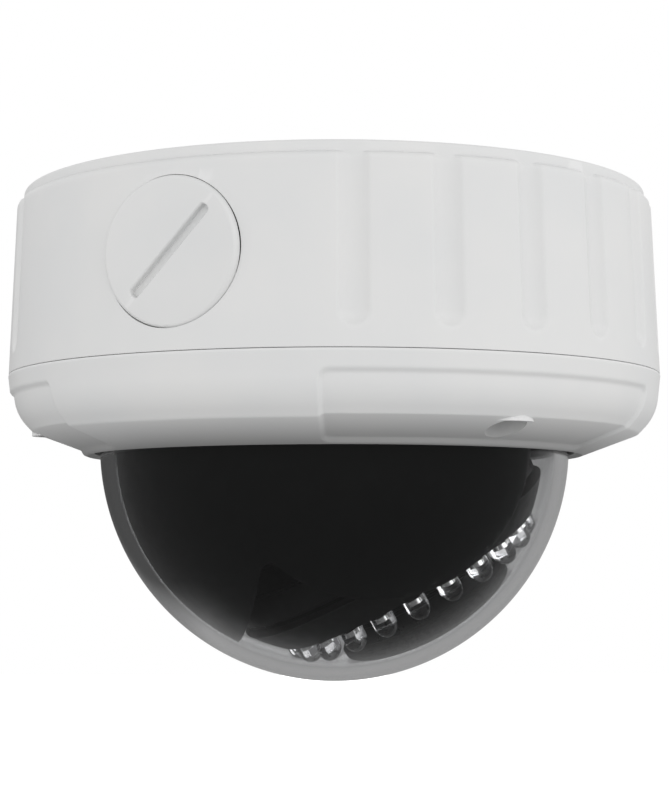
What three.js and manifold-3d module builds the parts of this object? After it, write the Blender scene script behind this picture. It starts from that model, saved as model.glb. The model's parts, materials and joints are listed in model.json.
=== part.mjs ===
// Vandal-resistant ceiling dome camera with a three-axis lens gimbal and a ring of infrared LEDs.
//
// Millimetres, +Z up. The origin is the centre of the ceiling face, so the camera hangs towards -Z.
// Azimuths are measured from -Y (the front) towards +X. Inside the gimbal the origin is the centre of
// the dome's sphere, and the lens looks along -Z of its own group.
import * as THREE from 'three';
import { mergeVertices } from 'three/addons/utils/BufferGeometryUtils.js';
import Module from 'manifold-3d';

const wasm = await Module();
wasm.setup();

// ---------------------------------------------------------------- driving dimensions
const GAP = 0.3;                  // clearance between neighbouring pieces
const SHELL_SEGMENTS = 40;        // facets around the large shells
const DOME_SEGMENTS = 32;         // facets around the dome, liner and eyeball
const RING_SEGMENTS = 24;         // facets around middle-sized rings
const PIN_SEGMENTS = 10;          // facets around screws and pins

const housing = {
  depth: 40.5, seamRadius: 72.4, topRadius: 70.85, lipRadius: 69.4, lipDepth: 2.3,
  innerTop: 66.6, innerSeam: 68.3, ceiling: 3.2, topFillet: 1.5, lipFillet: 0.6,
};
const flute = { pitch: 15, first: 3, count: 20, halfWidth: 3.1, depth: 1.4, seamClearance: 4.2 };
const plug = {
  azimuth: -26.6, aboveSeam: 19.6, radius: 15, thickness: 1.8, faceRadius: 71.8,
  neckRadius: 13.15, neckLength: 11, slotLength: 23.5, slotWidth: 2, slotDepth: 1.6,
};
const cover = {
  seamRadius: 72.5, shoulderRadius: 71.5, shoulderDrop: 8.8, shoulderFillet: 10.5,
  edgeRadius: 67.6, edgeDrop: 12.9, edgeFillet: 1.3, rimRadius: 55.2, rimDrop: 17.5, openingRadius: 53.4, ledgeDrop: 15.5, pocketRadius: 56.4,
};
const pad = { centre: 31.9, halfAngle: 34.6, recess: 0.8, topDrop: 3.6, rimRadius: 55.8 };
const coverScrew = { azimuth: 33.5, circle: 61.8, holeRadius: 4.2, headRadius: 3.5, shankRadius: 2 };
const dome = { drop: 15, radius: 52.3, wall: 3, flangeRadius: 56.1 };
const gimbal = { panRest: 13, tiltRest: 30, turntable: 29.5 };
const liner = { outer: 48.7, wall: 1, slotHalfWidth: 36, pastPole: 28, top: 29.2 };
const eyeball = { radius: 46.5, wall: 1.6, backAngle: 55, plate: 32.8, plateRadius: 33 };
const led = { count: 24, circle: 29.5, radius: 2.5, tip: 37.8 };
const shield = { outer: 21, inner: 14, back: 41.3, sphere: 48.6 };

const SEAM_Z = -housing.depth;
const DOME_Z = SEAM_Z - dome.drop;

// ---------------------------------------------------------------- finishes
function finish(color, roughness, metalness, extra = {}) {
  return new THREE.MeshStandardMaterial({ color, roughness, metalness, ...extra });
}
const finishes = {
  powderCoat: finish(0xe8e9e8, 0.5, 0.1),
  blackPlastic: finish(0x141414, 0.55, 0),
  satinBlack: finish(0x0d0d0d, 0.35, 0),
  rubber: finish(0x1b1b1b, 0.85, 0),
  clear: finish(0xd8dcde, 0.05, 0, { transparent: true, opacity: 0.3 }),
  steel: finish(0xb4b6b8, 0.3, 1),
  brass: finish(0xc2a45a, 0.35, 1),
  board: finish(0x17402a, 0.5, 0),
  greyPlastic: finish(0x8d8f91, 0.5, 0),
  glass: finish(0x3b3550, 0.02, 0, { transparent: true, opacity: 0.5 }),
};

// ---------------------------------------------------------------- solids from three.js geometry
function toSolid(geometry) {
  const bare = geometry.clone();
  bare.deleteAttribute('normal');
  bare.deleteAttribute('uv');
  const merged = mergeVertices(bare, 1e-4);
  const index = merged.index.array;
  const triangles = [];
  for (let i = 0; i < index.length; i += 3) {
    const [a, b, c] = [index[i], index[i + 1], index[i + 2]];
    if (a !== b && b !== c && c !== a) triangles.push(a, b, c);
  }
  const mesh = new wasm.Mesh({
    numProp: 3,
    vertProperties: new Float32Array(merged.attributes.position.array),
    triVerts: new Uint32Array(triangles),
  });
  return new wasm.Manifold(mesh);
}

function toGeometry(solid) {
  const mesh = solid.getMesh();
  const geometry = new THREE.BufferGeometry();
  geometry.setAttribute('position', new THREE.BufferAttribute(mesh.vertProperties, 3));
  geometry.setIndex(new THREE.BufferAttribute(mesh.triVerts, 1));
  geometry.computeVertexNormals();
  return geometry;
}

// A polyline of [r, z, fillet] corners with each fillet drawn as an arc of `steps` chords.
function rounded(corners, steps = 3) {
  const points = [];
  corners.forEach(([r, z, fillet = 0], i) => {
    const before = corners[(i + corners.length - 1) % corners.length];
    const after = corners[(i + 1) % corners.length];
    if (!fillet) {
      points.push(new THREE.Vector2(r, z));
      return;
    }
    const corner = new THREE.Vector2(r, z);
    const back = new THREE.Vector2(before[0] - r, before[1] - z).normalize();
    const forth = new THREE.Vector2(after[0] - r, after[1] - z).normalize();
    const half = Math.acos(THREE.MathUtils.clamp(back.dot(forth), -1, 1)) / 2;
    const reach = fillet / Math.tan(half);
    const centre = back.clone().add(forth).normalize().multiplyScalar(fillet / Math.sin(half)).add(corner);
    const start = back.multiplyScalar(reach).add(corner).sub(centre);
    const turn = Math.PI - 2 * half;
    const end = forth.multiplyScalar(reach).add(corner).sub(centre);
    const sign = Math.sign(start.x * end.y - start.y * end.x);
    for (let k = 0; k <= steps; k += 1) {
      points.push(start.clone().rotateAround(new THREE.Vector2(), (sign * turn * k) / steps).add(centre));
    }
  });
  return points;
}

// Turns a closed [r, z] outline about the Z axis. The outline is put in the order that faces outward.
function turned(outline, segments = RING_SEGMENTS) {
  const points = outline.map((p) => (p instanceof THREE.Vector2 ? p : new THREE.Vector2(p[0], p[1])));
  if (THREE.ShapeUtils.area(points) < 0) points.reverse();
  points.push(points[0].clone());
  const geometry = new THREE.LatheGeometry(points, segments);
  geometry.rotateX(Math.PI / 2);
  return toSolid(geometry);
}

function tube(inner, outer, low, high, segments = RING_SEGMENTS) {
  return turned([[inner, low], [outer, low], [outer, high], [inner, high]], segments);
}

function pin(radius, low, high, x = 0, y = 0, segments = PIN_SEGMENTS) {
  const geometry = new THREE.CylinderGeometry(radius, radius, high - low, segments);
  geometry.rotateX(Math.PI / 2);
  geometry.translate(x, y, (low + high) / 2);
  return toSolid(geometry);
}

function block([x0, x1], [y0, y1], [z0, z1]) {
  const geometry = new THREE.BoxGeometry(x1 - x0, y1 - y0, z1 - z0);
  geometry.translate((x0 + x1) / 2, (y0 + y1) / 2, (z0 + z1) / 2);
  return toSolid(geometry);
}

// A point on a circle at an azimuth measured from -Y towards +X.
function polar(radius, azimuth) {
  const angle = THREE.MathUtils.degToRad(azimuth);
  return [radius * Math.sin(angle), -radius * Math.cos(angle)];
}

// Arc points on a sphere about the origin, from one angle off the -Z axis to another.
function sphereArc(radius, from, to, steps) {
  return Array.from({ length: steps + 1 }, (_, k) => {
    const angle = THREE.MathUtils.degToRad(from + ((to - from) * k) / steps);
    return [radius * Math.sin(angle), -radius * Math.cos(angle)];
  });
}

// Moves a solid built about the Z axis so that +Z points outward at an azimuth and height.
function facingOut(solid, azimuth, height) {
  const turn = new THREE.Matrix4().makeRotationZ(THREE.MathUtils.degToRad(azimuth));
  const lay = new THREE.Matrix4().makeRotationX(Math.PI / 2);
  const lift = new THREE.Matrix4().makeTranslation(0, 0, height);
  return solid.transform(lift.multiply(turn).multiply(lay).elements);
}

function turnedAbout(solid, azimuth) {
  return solid.rotate([0, 0, azimuth]);
}

const root = new THREE.Group();
function add(name, solid, material, parent = root) {
  const mesh = new THREE.Mesh(toGeometry(solid), material);
  mesh.name = name;
  parent.add(mesh);
  return mesh;
}

const thirds = [0, 1, 2];
const screwAzimuths = thirds.map((k) => coverScrew.azimuth + 120 * k);

// ---------------------------------------------------------------- base housing
function wallRadius(z) {
  const share = (-z - housing.lipDepth) / (housing.depth - housing.lipDepth);
  return housing.topRadius + (housing.seamRadius - housing.topRadius) * share;
}

function fluteCutter() {
  const radius = (flute.halfWidth ** 2 + flute.depth ** 2) / (2 * flute.depth);
  const endZ = SEAM_Z + flute.seamClearance + flute.halfWidth;
  const top = -housing.lipDepth;
  const draft = Math.atan((wallRadius(endZ) - wallRadius(top)) / (top - endZ));
  const length = (top - endZ) / Math.cos(draft);
  const end = new THREE.SphereGeometry(radius, PIN_SEGMENTS, PIN_SEGMENTS / 2);
  end.rotateX(Math.PI / 2);
  const channel = pin(radius, 0, length).add(toSolid(end));
  const stand = wallRadius(endZ) + radius - flute.depth;
  return channel.rotate([-THREE.MathUtils.radToDeg(draft), 0, 0]).translate([0, -stand, endZ]);
}

function baseHousing() {
  let body = turned(rounded([
    [housing.innerSeam, SEAM_Z + GAP / 2], [housing.seamRadius, SEAM_Z + GAP / 2],
    [housing.topRadius, -housing.lipDepth, housing.topFillet],
    [housing.lipRadius, -housing.lipDepth], [housing.lipRadius, 0, housing.lipFillet],
    [10, 0], [10, -housing.ceiling], [housing.innerTop, -housing.ceiling],
  ]), SHELL_SEGMENTS);
  const cutter = fluteCutter();
  for (let k = 0; k < flute.count; k += 1) {
    body = body.subtract(turnedAbout(cutter, flute.first + flute.pitch * k));
  }
  const bossFoot = SEAM_Z + GAP;
  for (const azimuth of screwAzimuths) {
    const [x, y] = polar(coverScrew.circle, azimuth);
    const web = block([-1.5, 1.5], [-69, -coverScrew.circle], [SEAM_Z + 4.5, -2]);
    body = body.add(pin(4, bossFoot, -2, x, y)).add(turnedAbout(web, azimuth));
    body = body.subtract(pin(2.4, bossFoot - 1, bossFoot + 12, x, y));
  }
  for (const azimuth of [45, 135, 225, 315]) {
    const [x, y] = polar(57, azimuth + 12);
    body = body.subtract(pin(2.75, -housing.ceiling - 1, 1, x, y));
  }
  const height = SEAM_Z + plug.aboveSeam;
  const boss = pin(16.4, 63.5, 69.5, 0, 0, RING_SEGMENTS);
  const bore = pin(plug.neckRadius + GAP + 0.05, 50, 80, 0, 0, RING_SEGMENTS)
    .add(pin(plug.radius + 0.4, plug.faceRadius - plug.thickness - 1.4, 80, 0, 0, RING_SEGMENTS));
  body = body.add(facingOut(boss, plug.azimuth, height)).subtract(facingOut(bore, plug.azimuth, height));
  return body;
}

function conduitPlug() {
  const face = plug.faceRadius;
  const neckEnd = face - plug.neckLength;
  const body = turned(rounded([
    [8, neckEnd], [plug.neckRadius, neckEnd], [plug.neckRadius, face - plug.thickness],
    [plug.radius, face - plug.thickness], [plug.radius, face, 0.5], [0, face], [0, face - 3.6], [8, face - 3.6],
  ], 2));
  const slot = block(
    [-plug.slotLength / 2, plug.slotLength / 2],
    [-plug.slotWidth / 2, plug.slotWidth / 2],
    [face - plug.slotDepth, face + 1],
  ).rotate([0, 0, 45]);
  return facingOut(body.subtract(slot), plug.azimuth, SEAM_Z + plug.aboveSeam);
}

function conduitSeal() {
  const back = plug.faceRadius - plug.thickness;
  const ring = tube(plug.neckRadius + GAP, plug.radius, back - GAP - 0.8, back - GAP);
  return facingOut(ring, plug.azimuth, SEAM_Z + plug.aboveSeam);
}

add('base_housing', baseHousing(), finishes.powderCoat);
add('conduit_plug', conduitPlug(), finishes.powderCoat);
add('conduit_plug_seal', conduitSeal(), finishes.rubber);
add('cable_grommet', turned([
  [6, -5.2], [12, -5.2], [12, -housing.ceiling - GAP], [9.7, -housing.ceiling - GAP], [9.7, -0.5], [6, -0.5],
], 24), finishes.rubber);

// ---------------------------------------------------------------- power board inside the housing
const board = { radius: 39, low: -13.6, high: -12, standoffCircle: 35.5 };
add('power_board', thirds.reduce(
  (plate, k) => plate.subtract(pin(1.7, board.low - 1, board.high + 1, ...polar(board.standoffCircle, 93.5 + 120 * k))),
  pin(board.radius, board.low, board.high, 0, 0, RING_SEGMENTS),
), finishes.board);
for (const k of thirds) {
  const [x, y] = polar(board.standoffCircle, 93.5 + 120 * k);
  add(`board_standoff_${k + 1}`, pin(3, board.high + GAP, -housing.ceiling - GAP, x, y, 6), finishes.brass);
  const head = pin(2.8, board.low - GAP - 1.6, board.low - GAP, x, y);
  add(`board_screw_${k + 1}`, head.add(pin(1.3, board.low - GAP - 0.4, board.high, x, y)), finishes.steel);
}
add('power_terminal_block', block([14, 28], [-6, 6], [board.high + GAP, -4.5]), finishes.greyPlastic);
add('video_socket', block([-29, -15], [-7, 7], [board.high + GAP, -4.5]), finishes.steel);
add('service_video_jack', block([-26, -18], [8, 16], [-18.4, board.low - GAP]), finishes.blackPlastic);

// ---------------------------------------------------------------- cover: ring, dome, clamp and screws
const at = (drop) => SEAM_Z - drop;

// The outside of the cover from the seam to the rim, moved inwards by `inset`.
function coverSkin(inset) {
  const slope = Math.atan((cover.rimDrop - cover.edgeDrop) / (cover.edgeRadius - cover.rimRadius));
  const [sideways, upwards] = [inset * Math.sin(slope), inset * Math.cos(slope)];
  return rounded([
    [cover.seamRadius - inset, at(0)],
    [cover.shoulderRadius - inset * 0.97, at(cover.shoulderDrop) + inset * 0.49, cover.shoulderFillet],
    [cover.edgeRadius - inset * 0.5, at(cover.edgeDrop) + inset * 0.88, cover.edgeFillet],
    [cover.rimRadius - sideways, at(cover.rimDrop) + upwards],
  ], 4);
}

function coverRing() {
  const top = at(GAP / 2);
  let body = turned([
    [cover.seamRadius, top], ...coverSkin(0).slice(1),
    [cover.openingRadius, at(cover.rimDrop - 0.4)], [cover.openingRadius - 0.2, at(cover.ledgeDrop)],
    [cover.pocketRadius, at(cover.ledgeDrop)], [cover.pocketRadius, at(12.6)], [61.2, at(12.6)],
    [64, at(11.4)], [66.3, at(9.8)], [66.3, at(-3)], [67.9, at(-3)], [67.9, top], [69, top], [69, top - 1.3],
    [71.4, top - 1.3], [71.4, top],
  ], SHELL_SEGMENTS);
  const recess = turned([
    ...coverSkin(pad.recess).filter((p) => p.x > pad.rimRadius),
    [pad.rimRadius, at(cover.rimDrop - 1.2)], [pad.rimRadius, at(30)], [90, at(30)], [90, at(-2)],
  ], SHELL_SEGMENTS);
  const lid = block([-99, 99], [-99, 99], [at(pad.topDrop), at(-9)]);
  const reach = 150;
  const wedgeShape = new THREE.Shape([
    new THREE.Vector2(0, 0), new THREE.Vector2(...polar(reach, -pad.halfAngle)),
    new THREE.Vector2(...polar(reach, pad.halfAngle)),
  ]);
  const wedge = toSolid(new THREE.ExtrudeGeometry(wedgeShape, { depth: 60, bevelEnabled: false }))
    .translate([0, 0, at(40)]);
  const padCutter = recess.subtract(lid).intersect(wedge);
  thirds.forEach((k) => {
    const [x, y] = polar(coverScrew.circle, screwAzimuths[k]);
    body = body.subtract(turnedAbout(padCutter, pad.centre + 120 * k));
    body = body.subtract(pin(6.8, at(1.5), at(-4), x, y));
    body = body.add(pin(5.6, at(13), at(0.8), x, y));
    body = body.subtract(pin(coverScrew.holeRadius, at(25), at(7), x, y, 24)).subtract(pin(2.4, at(8), at(-2), x, y));
    body = body.subtract(pin(1.7, at(14.3), at(10), ...polar(58.2, screwAzimuths[k] + 60)));
  });
  return body;
}

function coverScrewSolid() {
  const head = pin(coverScrew.headRadius, at(10.3), at(7.3));
  const socket = pin(1.6, at(11), at(8.6), 0, 0, 6);
  return head.subtract(socket).add(pin(coverScrew.shankRadius, at(7.4), at(-6)));
}

add('cover_ring', coverRing(), finishes.powderCoat);
add('seam_gasket', tube(69.3, 71.1, at(GAP / 2 + 1), at(GAP / 2), SHELL_SEGMENTS), finishes.rubber);
thirds.forEach((k) => {
  const [x, y] = polar(coverScrew.circle, screwAzimuths[k]);
  add(`cover_screw_${k + 1}`, coverScrewSolid().translate([x, y, 0]), finishes.steel);
});

const domeGroup = new THREE.Group();
domeGroup.position.z = DOME_Z;
root.add(domeGroup);
const domeInner = dome.radius - dome.wall;
add('dome_bubble', turned([
  ...sphereArc(dome.radius, 0, 90, 9), [dome.radius, 0.8], [dome.flangeRadius, 0.8], [dome.flangeRadius, 2.4],
  [domeInner, 2.4], ...sphereArc(domeInner, 90, 0, 9),
], DOME_SEGMENTS), finishes.clear, domeGroup);
add('dome_gasket', tube(53.6, dome.flangeRadius, -0.2, 0.5, DOME_SEGMENTS), finishes.rubber, domeGroup);

function clampRing() {
  return thirds.reduce((ring, k) => {
    const notch = pin(6.2, 2, 6, ...polar(coverScrew.circle, screwAzimuths[k]));
    const hole = pin(1.7, 2, 6, ...polar(58.2, screwAzimuths[k] + 60));
    return ring.subtract(notch).subtract(hole);
  }, tube(50.5, 60.5, 2.7, 4.7, DOME_SEGMENTS));
}
add('dome_clamp_ring', clampRing(), finishes.steel, domeGroup);
thirds.forEach((k) => {
  const [x, y] = polar(58.2, screwAzimuths[k] + 60);
  const screw = pin(2.6, 5, 6.6, x, y).add(pin(1.3, 1.1, 5.1, x, y));
  add(`clamp_ring_screw_${k + 1}`, screw, finishes.steel, domeGroup);
});

// ---------------------------------------------------------------- gimbal base, fixed to the housing
const pan = gimbal.turntable;
add('gimbal_base_ring', tube(41.5, 49.4, pan + 2.8, pan + 5.3, DOME_SEGMENTS), finishes.blackPlastic, domeGroup);
thirds.forEach((k) => {
  const [x, y] = polar(46.2, screwAzimuths[k]);
  const high = -DOME_Z - housing.ceiling - GAP;
  add(`gimbal_post_${k + 1}`, pin(2.6, pan + 5.3 + GAP, high, x, y), finishes.brass, domeGroup);
});

// ---------------------------------------------------------------- pan: turntable, yokes and liner
const panGroup = new THREE.Group();
panGroup.rotation.z = THREE.MathUtils.degToRad(gimbal.panRest);
domeGroup.add(panGroup);

const panScrewX = -41.3;
add('pan_turntable', turned([
  [38, pan], [46.5, pan], [46.5, pan + 2.5], [40.7, pan + 2.5], [40.7, pan + 5.6], [42.4, pan + 5.6],
  [42.4, pan + 6.8], [38, pan + 6.8],
], DOME_SEGMENTS).subtract(pin(1.8, pan - 1, pan + 2.2, panScrewX, 0)), finishes.blackPlastic, panGroup);

function knurledHead(radius, low, high, teeth) {
  const outline = Array.from({ length: 2 * teeth }, (_, i) => {
    const angle = (Math.PI * i) / teeth;
    const r = i % 2 ? radius : radius - 0.35;
    return new THREE.Vector2(r * Math.cos(angle), r * Math.sin(angle));
  });
  const shape = new THREE.Shape(outline);
  return toSolid(new THREE.ExtrudeGeometry(shape, { depth: high - low, bevelEnabled: false }))
    .translate([0, 0, low]);
}
add('pan_lock_screw', knurledHead(2.3, pan - 3.6, pan - GAP, 8).add(pin(1.4, pan - GAP - 0.1, pan + 2))
  .translate([panScrewX, 0, 0]), finishes.brass, panGroup);

const yoke = { inner: 40.2, outer: 43, halfWidth: 8, foot: -8 };
function yokeArm(side) {
  const arm = block([-yoke.halfWidth, yoke.halfWidth], [yoke.inner, yoke.outer], [yoke.foot, pan - GAP]);
  const foot = block([-yoke.halfWidth, yoke.halfWidth], [38.3, yoke.inner + 0.1], [pan - 2.6, pan - GAP]);
  const hole = pin(2.9, yoke.inner - 1, yoke.outer + 1).rotate([-90, 0, 0]);
  return arm.add(foot).subtract(hole).rotate([0, 0, side > 0 ? 0 : 180]);
}
function pivotScrew(side) {
  const head = knurledHead(3.9, yoke.outer + GAP, yoke.outer + GAP + 2.6, 10);
  const shank = pin(2.4, 35.2, yoke.outer + GAP + 0.1);
  return head.add(shank).rotate([-90, 0, 0]).rotate([0, 0, side > 0 ? 0 : 180]);
}
add('yoke_arm_near', yokeArm(-1), finishes.blackPlastic, panGroup);
add('yoke_arm_far', yokeArm(1), finishes.blackPlastic, panGroup);
add('tilt_lock_screw_near', pivotScrew(-1), finishes.brass, panGroup);
add('tilt_lock_screw_far', pivotScrew(1), finishes.brass, panGroup);

function linerShroud() {
  const inner = liner.outer - liner.wall;
  const bowl = turned([
    ...sphereArc(liner.outer, 0, 90, 9), [liner.outer, liner.top], [44.2, liner.top], [44.2, liner.top - 1.4],
    [inner, liner.top - 1.4], ...sphereArc(inner, 90, 0, 9),
  ], DOME_SEGMENTS);
  const start = -liner.outer * Math.sin(THREE.MathUtils.degToRad(liner.pastPole));
  const slot = block([start, 60], [-liner.slotHalfWidth, liner.slotHalfWidth], [-60, liner.top - 4]);
  return bowl.subtract(slot);
}
add('liner_shroud', linerShroud(), finishes.satinBlack, panGroup);

// ---------------------------------------------------------------- tilt: frame that carries the module
const tiltGroup = new THREE.Group();
tiltGroup.rotation.y = -THREE.MathUtils.degToRad(gimbal.tiltRest);
panGroup.add(tiltGroup);

const frameRing = { inner: 34, outer: 37.2, front: -25, back: -19 };
function tiltFrame() {
  const ring = tube(frameRing.inner, frameRing.outer, frameRing.front, frameRing.back, DOME_SEGMENTS);
  return [1, -1].reduce((frame, side) => {
    const ear = block([-7, 7], [35.8, 39.6], [-22, 7]);
    const hole = pin(2.8, 34, 42).rotate([-90, 0, 0]);
    return frame.add(ear.subtract(hole).rotate([0, 0, side > 0 ? 0 : 180]));
  }, ring);
}
add('tilt_frame', tiltFrame(), finishes.blackPlastic, tiltGroup);

// ---------------------------------------------------------------- lens module: everything that rolls
const module = new THREE.Group();
tiltGroup.add(module);

function moduleChassis() {
  let body = turned([
    [27.5, 4], [29.5, 4], [29.5, -14], [33.6, -14], [33.6, -28.6], [31.4, -28.6], [31.4, -16], [27.5, -16],
    [27.5, -1.2], [23.5, -1.2], [23.5, 0.1], [27.5, 0.1],
  ], DOME_SEGMENTS);
  for (const turn of [0, 180]) {
    body = body.subtract(block([20, 34], [-7, 7], [-26.5, -8]).rotate([0, 0, turn]));
  }
  return body;
}
add('module_chassis', moduleChassis(), finishes.blackPlastic, module);
add('camera_board', block([-19, 19], [-19, 19], [0.4, 2]), finishes.board, module);
add('board_connector', block([-8, 8], [9, 14], [2.3, 6.5]), finishes.greyPlastic, module);
add('image_sensor', block([-4.5, 4.5], [-4.5, 4.5], [-1.1, 0.1]), finishes.greyPlastic, module);

function lensMount() {
  const body = block([-11.5, 11.5], [-11.5, 11.5], [-7.6, 0.1]);
  const well = block([-6.5, 6.5], [-6.5, 6.5], [-2.4, 1]);
  const slideway = block([-9.5, 20], [-5, 5], [-4.6, -3.2]);
  return body.subtract(well).subtract(slideway).subtract(pin(4.2, -9, 0, 0, 0, 24));
}
add('lens_mount', lensMount(), finishes.blackPlastic, module);
add('ir_cut_filter', block([-9, 10.5], [-4.6, 4.6], [-4.3, -3.5]), finishes.glass, module);
add('lens_barrel', turned([
  [11.4, -7.9], [16.5, -7.9], [16.5, -11], [13.8, -11], [13.8, -29], [11.4, -29],
]), finishes.satinBlack, module);
add('zoom_lens_group', turned([[0, -12.5], [11, -12.5], [11, -17.5], [0, -17.5]], 24), finishes.glass, module);

function lensRing(back, front, outer) {
  const grip = knurledHead(outer, front, back, 18);
  const bore = pin(14.2, front - 1, back + 1, 0, 0, RING_SEGMENTS);
  return grip.subtract(bore).subtract(pin(1.6, 13, 19).rotate([0, 90, 0]).translate([0, 0, (front + back) / 2]));
}
function lockScrew(middle) {
  const body = pin(2.2, 17.6, 22.6).add(pin(1.2, 14.5, 17.7));
  return body.rotate([0, 90, 0]).translate([0, 0, middle]);
}
add('zoom_ring', lensRing(-12, -18, 17.2), finishes.satinBlack, module);
add('zoom_lock_screw', lockScrew(-15), finishes.steel, module);
add('focus_ring', lensRing(-19.6, -25.4, 17.2), finishes.satinBlack, module);
add('focus_lock_screw', lockScrew(-22.5), finishes.steel, module);
add('front_lens_cell', turned([
  [14.1, -28.2], [17, -28.2], [17, -33], [19.5, -33.5], [19.5, -37], [18.6, -37.3], [18.6, -41],
  [14.6, -41], [12, -39.6], [12, -32.6], [14.1, -32.6],
]), finishes.satinBlack, module);
add('front_lens_element', turned([
  [0, -33.2], [11.6, -33.2], [11.6, -38], [8, -39.6], [4, -40.4], [0, -40.7],
], 24), finishes.glass, module);

function lightShield() {
  const face = [shield.inner, (shield.inner + shield.outer) / 2, shield.outer]
    .map((r) => [r, -Math.sqrt(shield.sphere ** 2 - r ** 2)]);
  return turned([...face, [shield.outer, -shield.back], [shield.inner, -shield.back]]);
}
add('light_shield', lightShield(), finishes.rubber, module);

add('eyeball_bezel', turned([
  ...sphereArc(eyeball.radius, THREE.MathUtils.radToDeg(Math.asin(eyeball.plateRadius / eyeball.radius)),
    eyeball.backAngle, 3),
  ...sphereArc(eyeball.radius - eyeball.wall, eyeball.backAngle, 48, 2),
  [32.6, -31.2], [21.3, -31.2], [21.3, -eyeball.plate],
], DOME_SEGMENTS), finishes.blackPlastic, module);
add('led_board', tube(21.6, 31.2, -30.9, -29.3, DOME_SEGMENTS), finishes.board, module);

function ledArray() {
  const shoulder = led.tip - 1.8;
  const base = eyeball.plate + GAP;
  const lens = turned([
    [0, -base], [led.radius, -base], [led.radius, -shoulder], [1.1, -led.tip], [0, -led.tip],
  ], 6);
  let array = tube(led.circle - 1, led.circle + 1, -base - 0.5, -base, led.count);
  for (let k = 0; k < led.count; k += 1) {
    const [x, y] = polar(led.circle, (360 / led.count) * k);
    array = array.add(lens.translate([x, y, 0]));
  }
  return array;
}
add('ir_led_ring', ledArray(), finishes.clear, module);

export default root;
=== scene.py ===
"""The looks of a ceiling dome security camera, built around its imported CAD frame.

Sizes are in millimetres and are turned into metres when a piece is settled in its place. Azimuths are
measured from the front (-Y) towards +X, and every turned piece is made about its own Z axis.
"""
import json
import logging
import math
from dataclasses import dataclass, replace
from enum import Enum
from typing import Any, Callable, Iterable, Sequence

import bmesh
import bpy
import numpy as np
from mathutils import Matrix, Vector


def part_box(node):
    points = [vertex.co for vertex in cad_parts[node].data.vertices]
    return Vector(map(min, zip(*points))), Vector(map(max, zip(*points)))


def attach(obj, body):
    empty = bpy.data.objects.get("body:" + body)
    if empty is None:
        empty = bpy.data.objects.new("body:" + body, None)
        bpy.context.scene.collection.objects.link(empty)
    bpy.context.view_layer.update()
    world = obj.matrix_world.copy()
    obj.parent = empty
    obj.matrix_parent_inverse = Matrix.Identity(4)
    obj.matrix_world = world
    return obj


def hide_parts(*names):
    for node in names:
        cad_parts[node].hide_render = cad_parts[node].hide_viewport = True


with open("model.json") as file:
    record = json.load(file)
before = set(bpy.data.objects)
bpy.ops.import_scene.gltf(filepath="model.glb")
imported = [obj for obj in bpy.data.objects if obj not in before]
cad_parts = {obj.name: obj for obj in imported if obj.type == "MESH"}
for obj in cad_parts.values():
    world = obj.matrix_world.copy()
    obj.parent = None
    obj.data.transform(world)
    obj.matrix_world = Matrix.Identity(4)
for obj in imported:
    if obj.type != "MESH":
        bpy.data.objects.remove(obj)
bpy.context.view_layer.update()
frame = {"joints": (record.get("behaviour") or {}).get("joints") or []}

log = logging.getLogger("dome_camera")
logging.basicConfig(level=logging.INFO, format="%(name)s: %(message)s")

Object = bpy.types.Object
Material = bpy.types.Material
Outline = Sequence[Sequence[float]]
Colour = tuple[float, float, float]
Reshape = Callable[[np.ndarray, np.ndarray, np.ndarray], tuple[np.ndarray, np.ndarray]]

MM = 0.001
GAP = 0.3
SEAM_GAP = 0.14
TURN = 2 * math.pi


# ---------------------------------------------------------------- places taken from the frame
def joint(name: str) -> dict[str, Any]:
    """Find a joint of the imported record.

    Args:
        name: the joint's name.

    Returns:
        The joint's entry.
    """
    return next(entry for entry in frame["joints"] if entry["name"] == name)


def azimuth_of(direction: Sequence[float]) -> float:
    """Azimuth in radians of a direction or point, from the front towards +X."""
    return math.atan2(direction[0], -direction[1])


def polar(radius: float, azimuth: float) -> tuple[float, float]:
    """Plan position of a point at a radius and an azimuth in radians."""
    return radius * math.sin(azimuth), -radius * math.cos(azimuth)


def spin(angle: float, axis: str = "Z") -> Matrix:
    """Turn about one of the local axes by an angle in radians."""
    return Matrix.Rotation(angle, 4, axis)


def shift(x: float = 0.0, y: float = 0.0, z: float = 0.0) -> Matrix:
    """Move by a distance in millimetres."""
    return Matrix.Translation((x, y, z))


HERE = Matrix.Identity(4)
SEAM_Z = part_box("base_housing")[0].z / MM - GAP / 2
DOME_Z = joint("pan")["pos_m"][2] / MM
SCREW_AZIMUTHS = [azimuth_of(joint(f"cover_screw_{k}_turn")["pos_m"]) for k in (1, 2, 3)]
CLAMP_AZIMUTHS = [azimuth + TURN / 6 for azimuth in SCREW_AZIMUTHS]
LENS_AXIS = Vector(joint("lens_rotation")["axis"])
PLUG_AXIS = Vector(joint("conduit_plug_turn")["axis"])
PLUG_HEIGHT = joint("conduit_plug_turn")["pos_m"][2] / MM

DOME = shift(z=DOME_Z)
PAN = DOME @ spin(math.atan2(LENS_AXIS.y, LENS_AXIS.x))
MODULE = PAN @ spin(-math.acos(-LENS_AXIS.z), "Y")
PLUG = shift(z=PLUG_HEIGHT) @ spin(azimuth_of(PLUG_AXIS)) @ spin(math.pi / 2, "X")
SIDEWAYS = spin(-math.pi / 2, "X")
OVER = spin(math.pi, "X")


def below_seam(drop: float) -> float:
    """Height of a point that lies `drop` millimetres under the seam."""
    return SEAM_Z - drop


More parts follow.
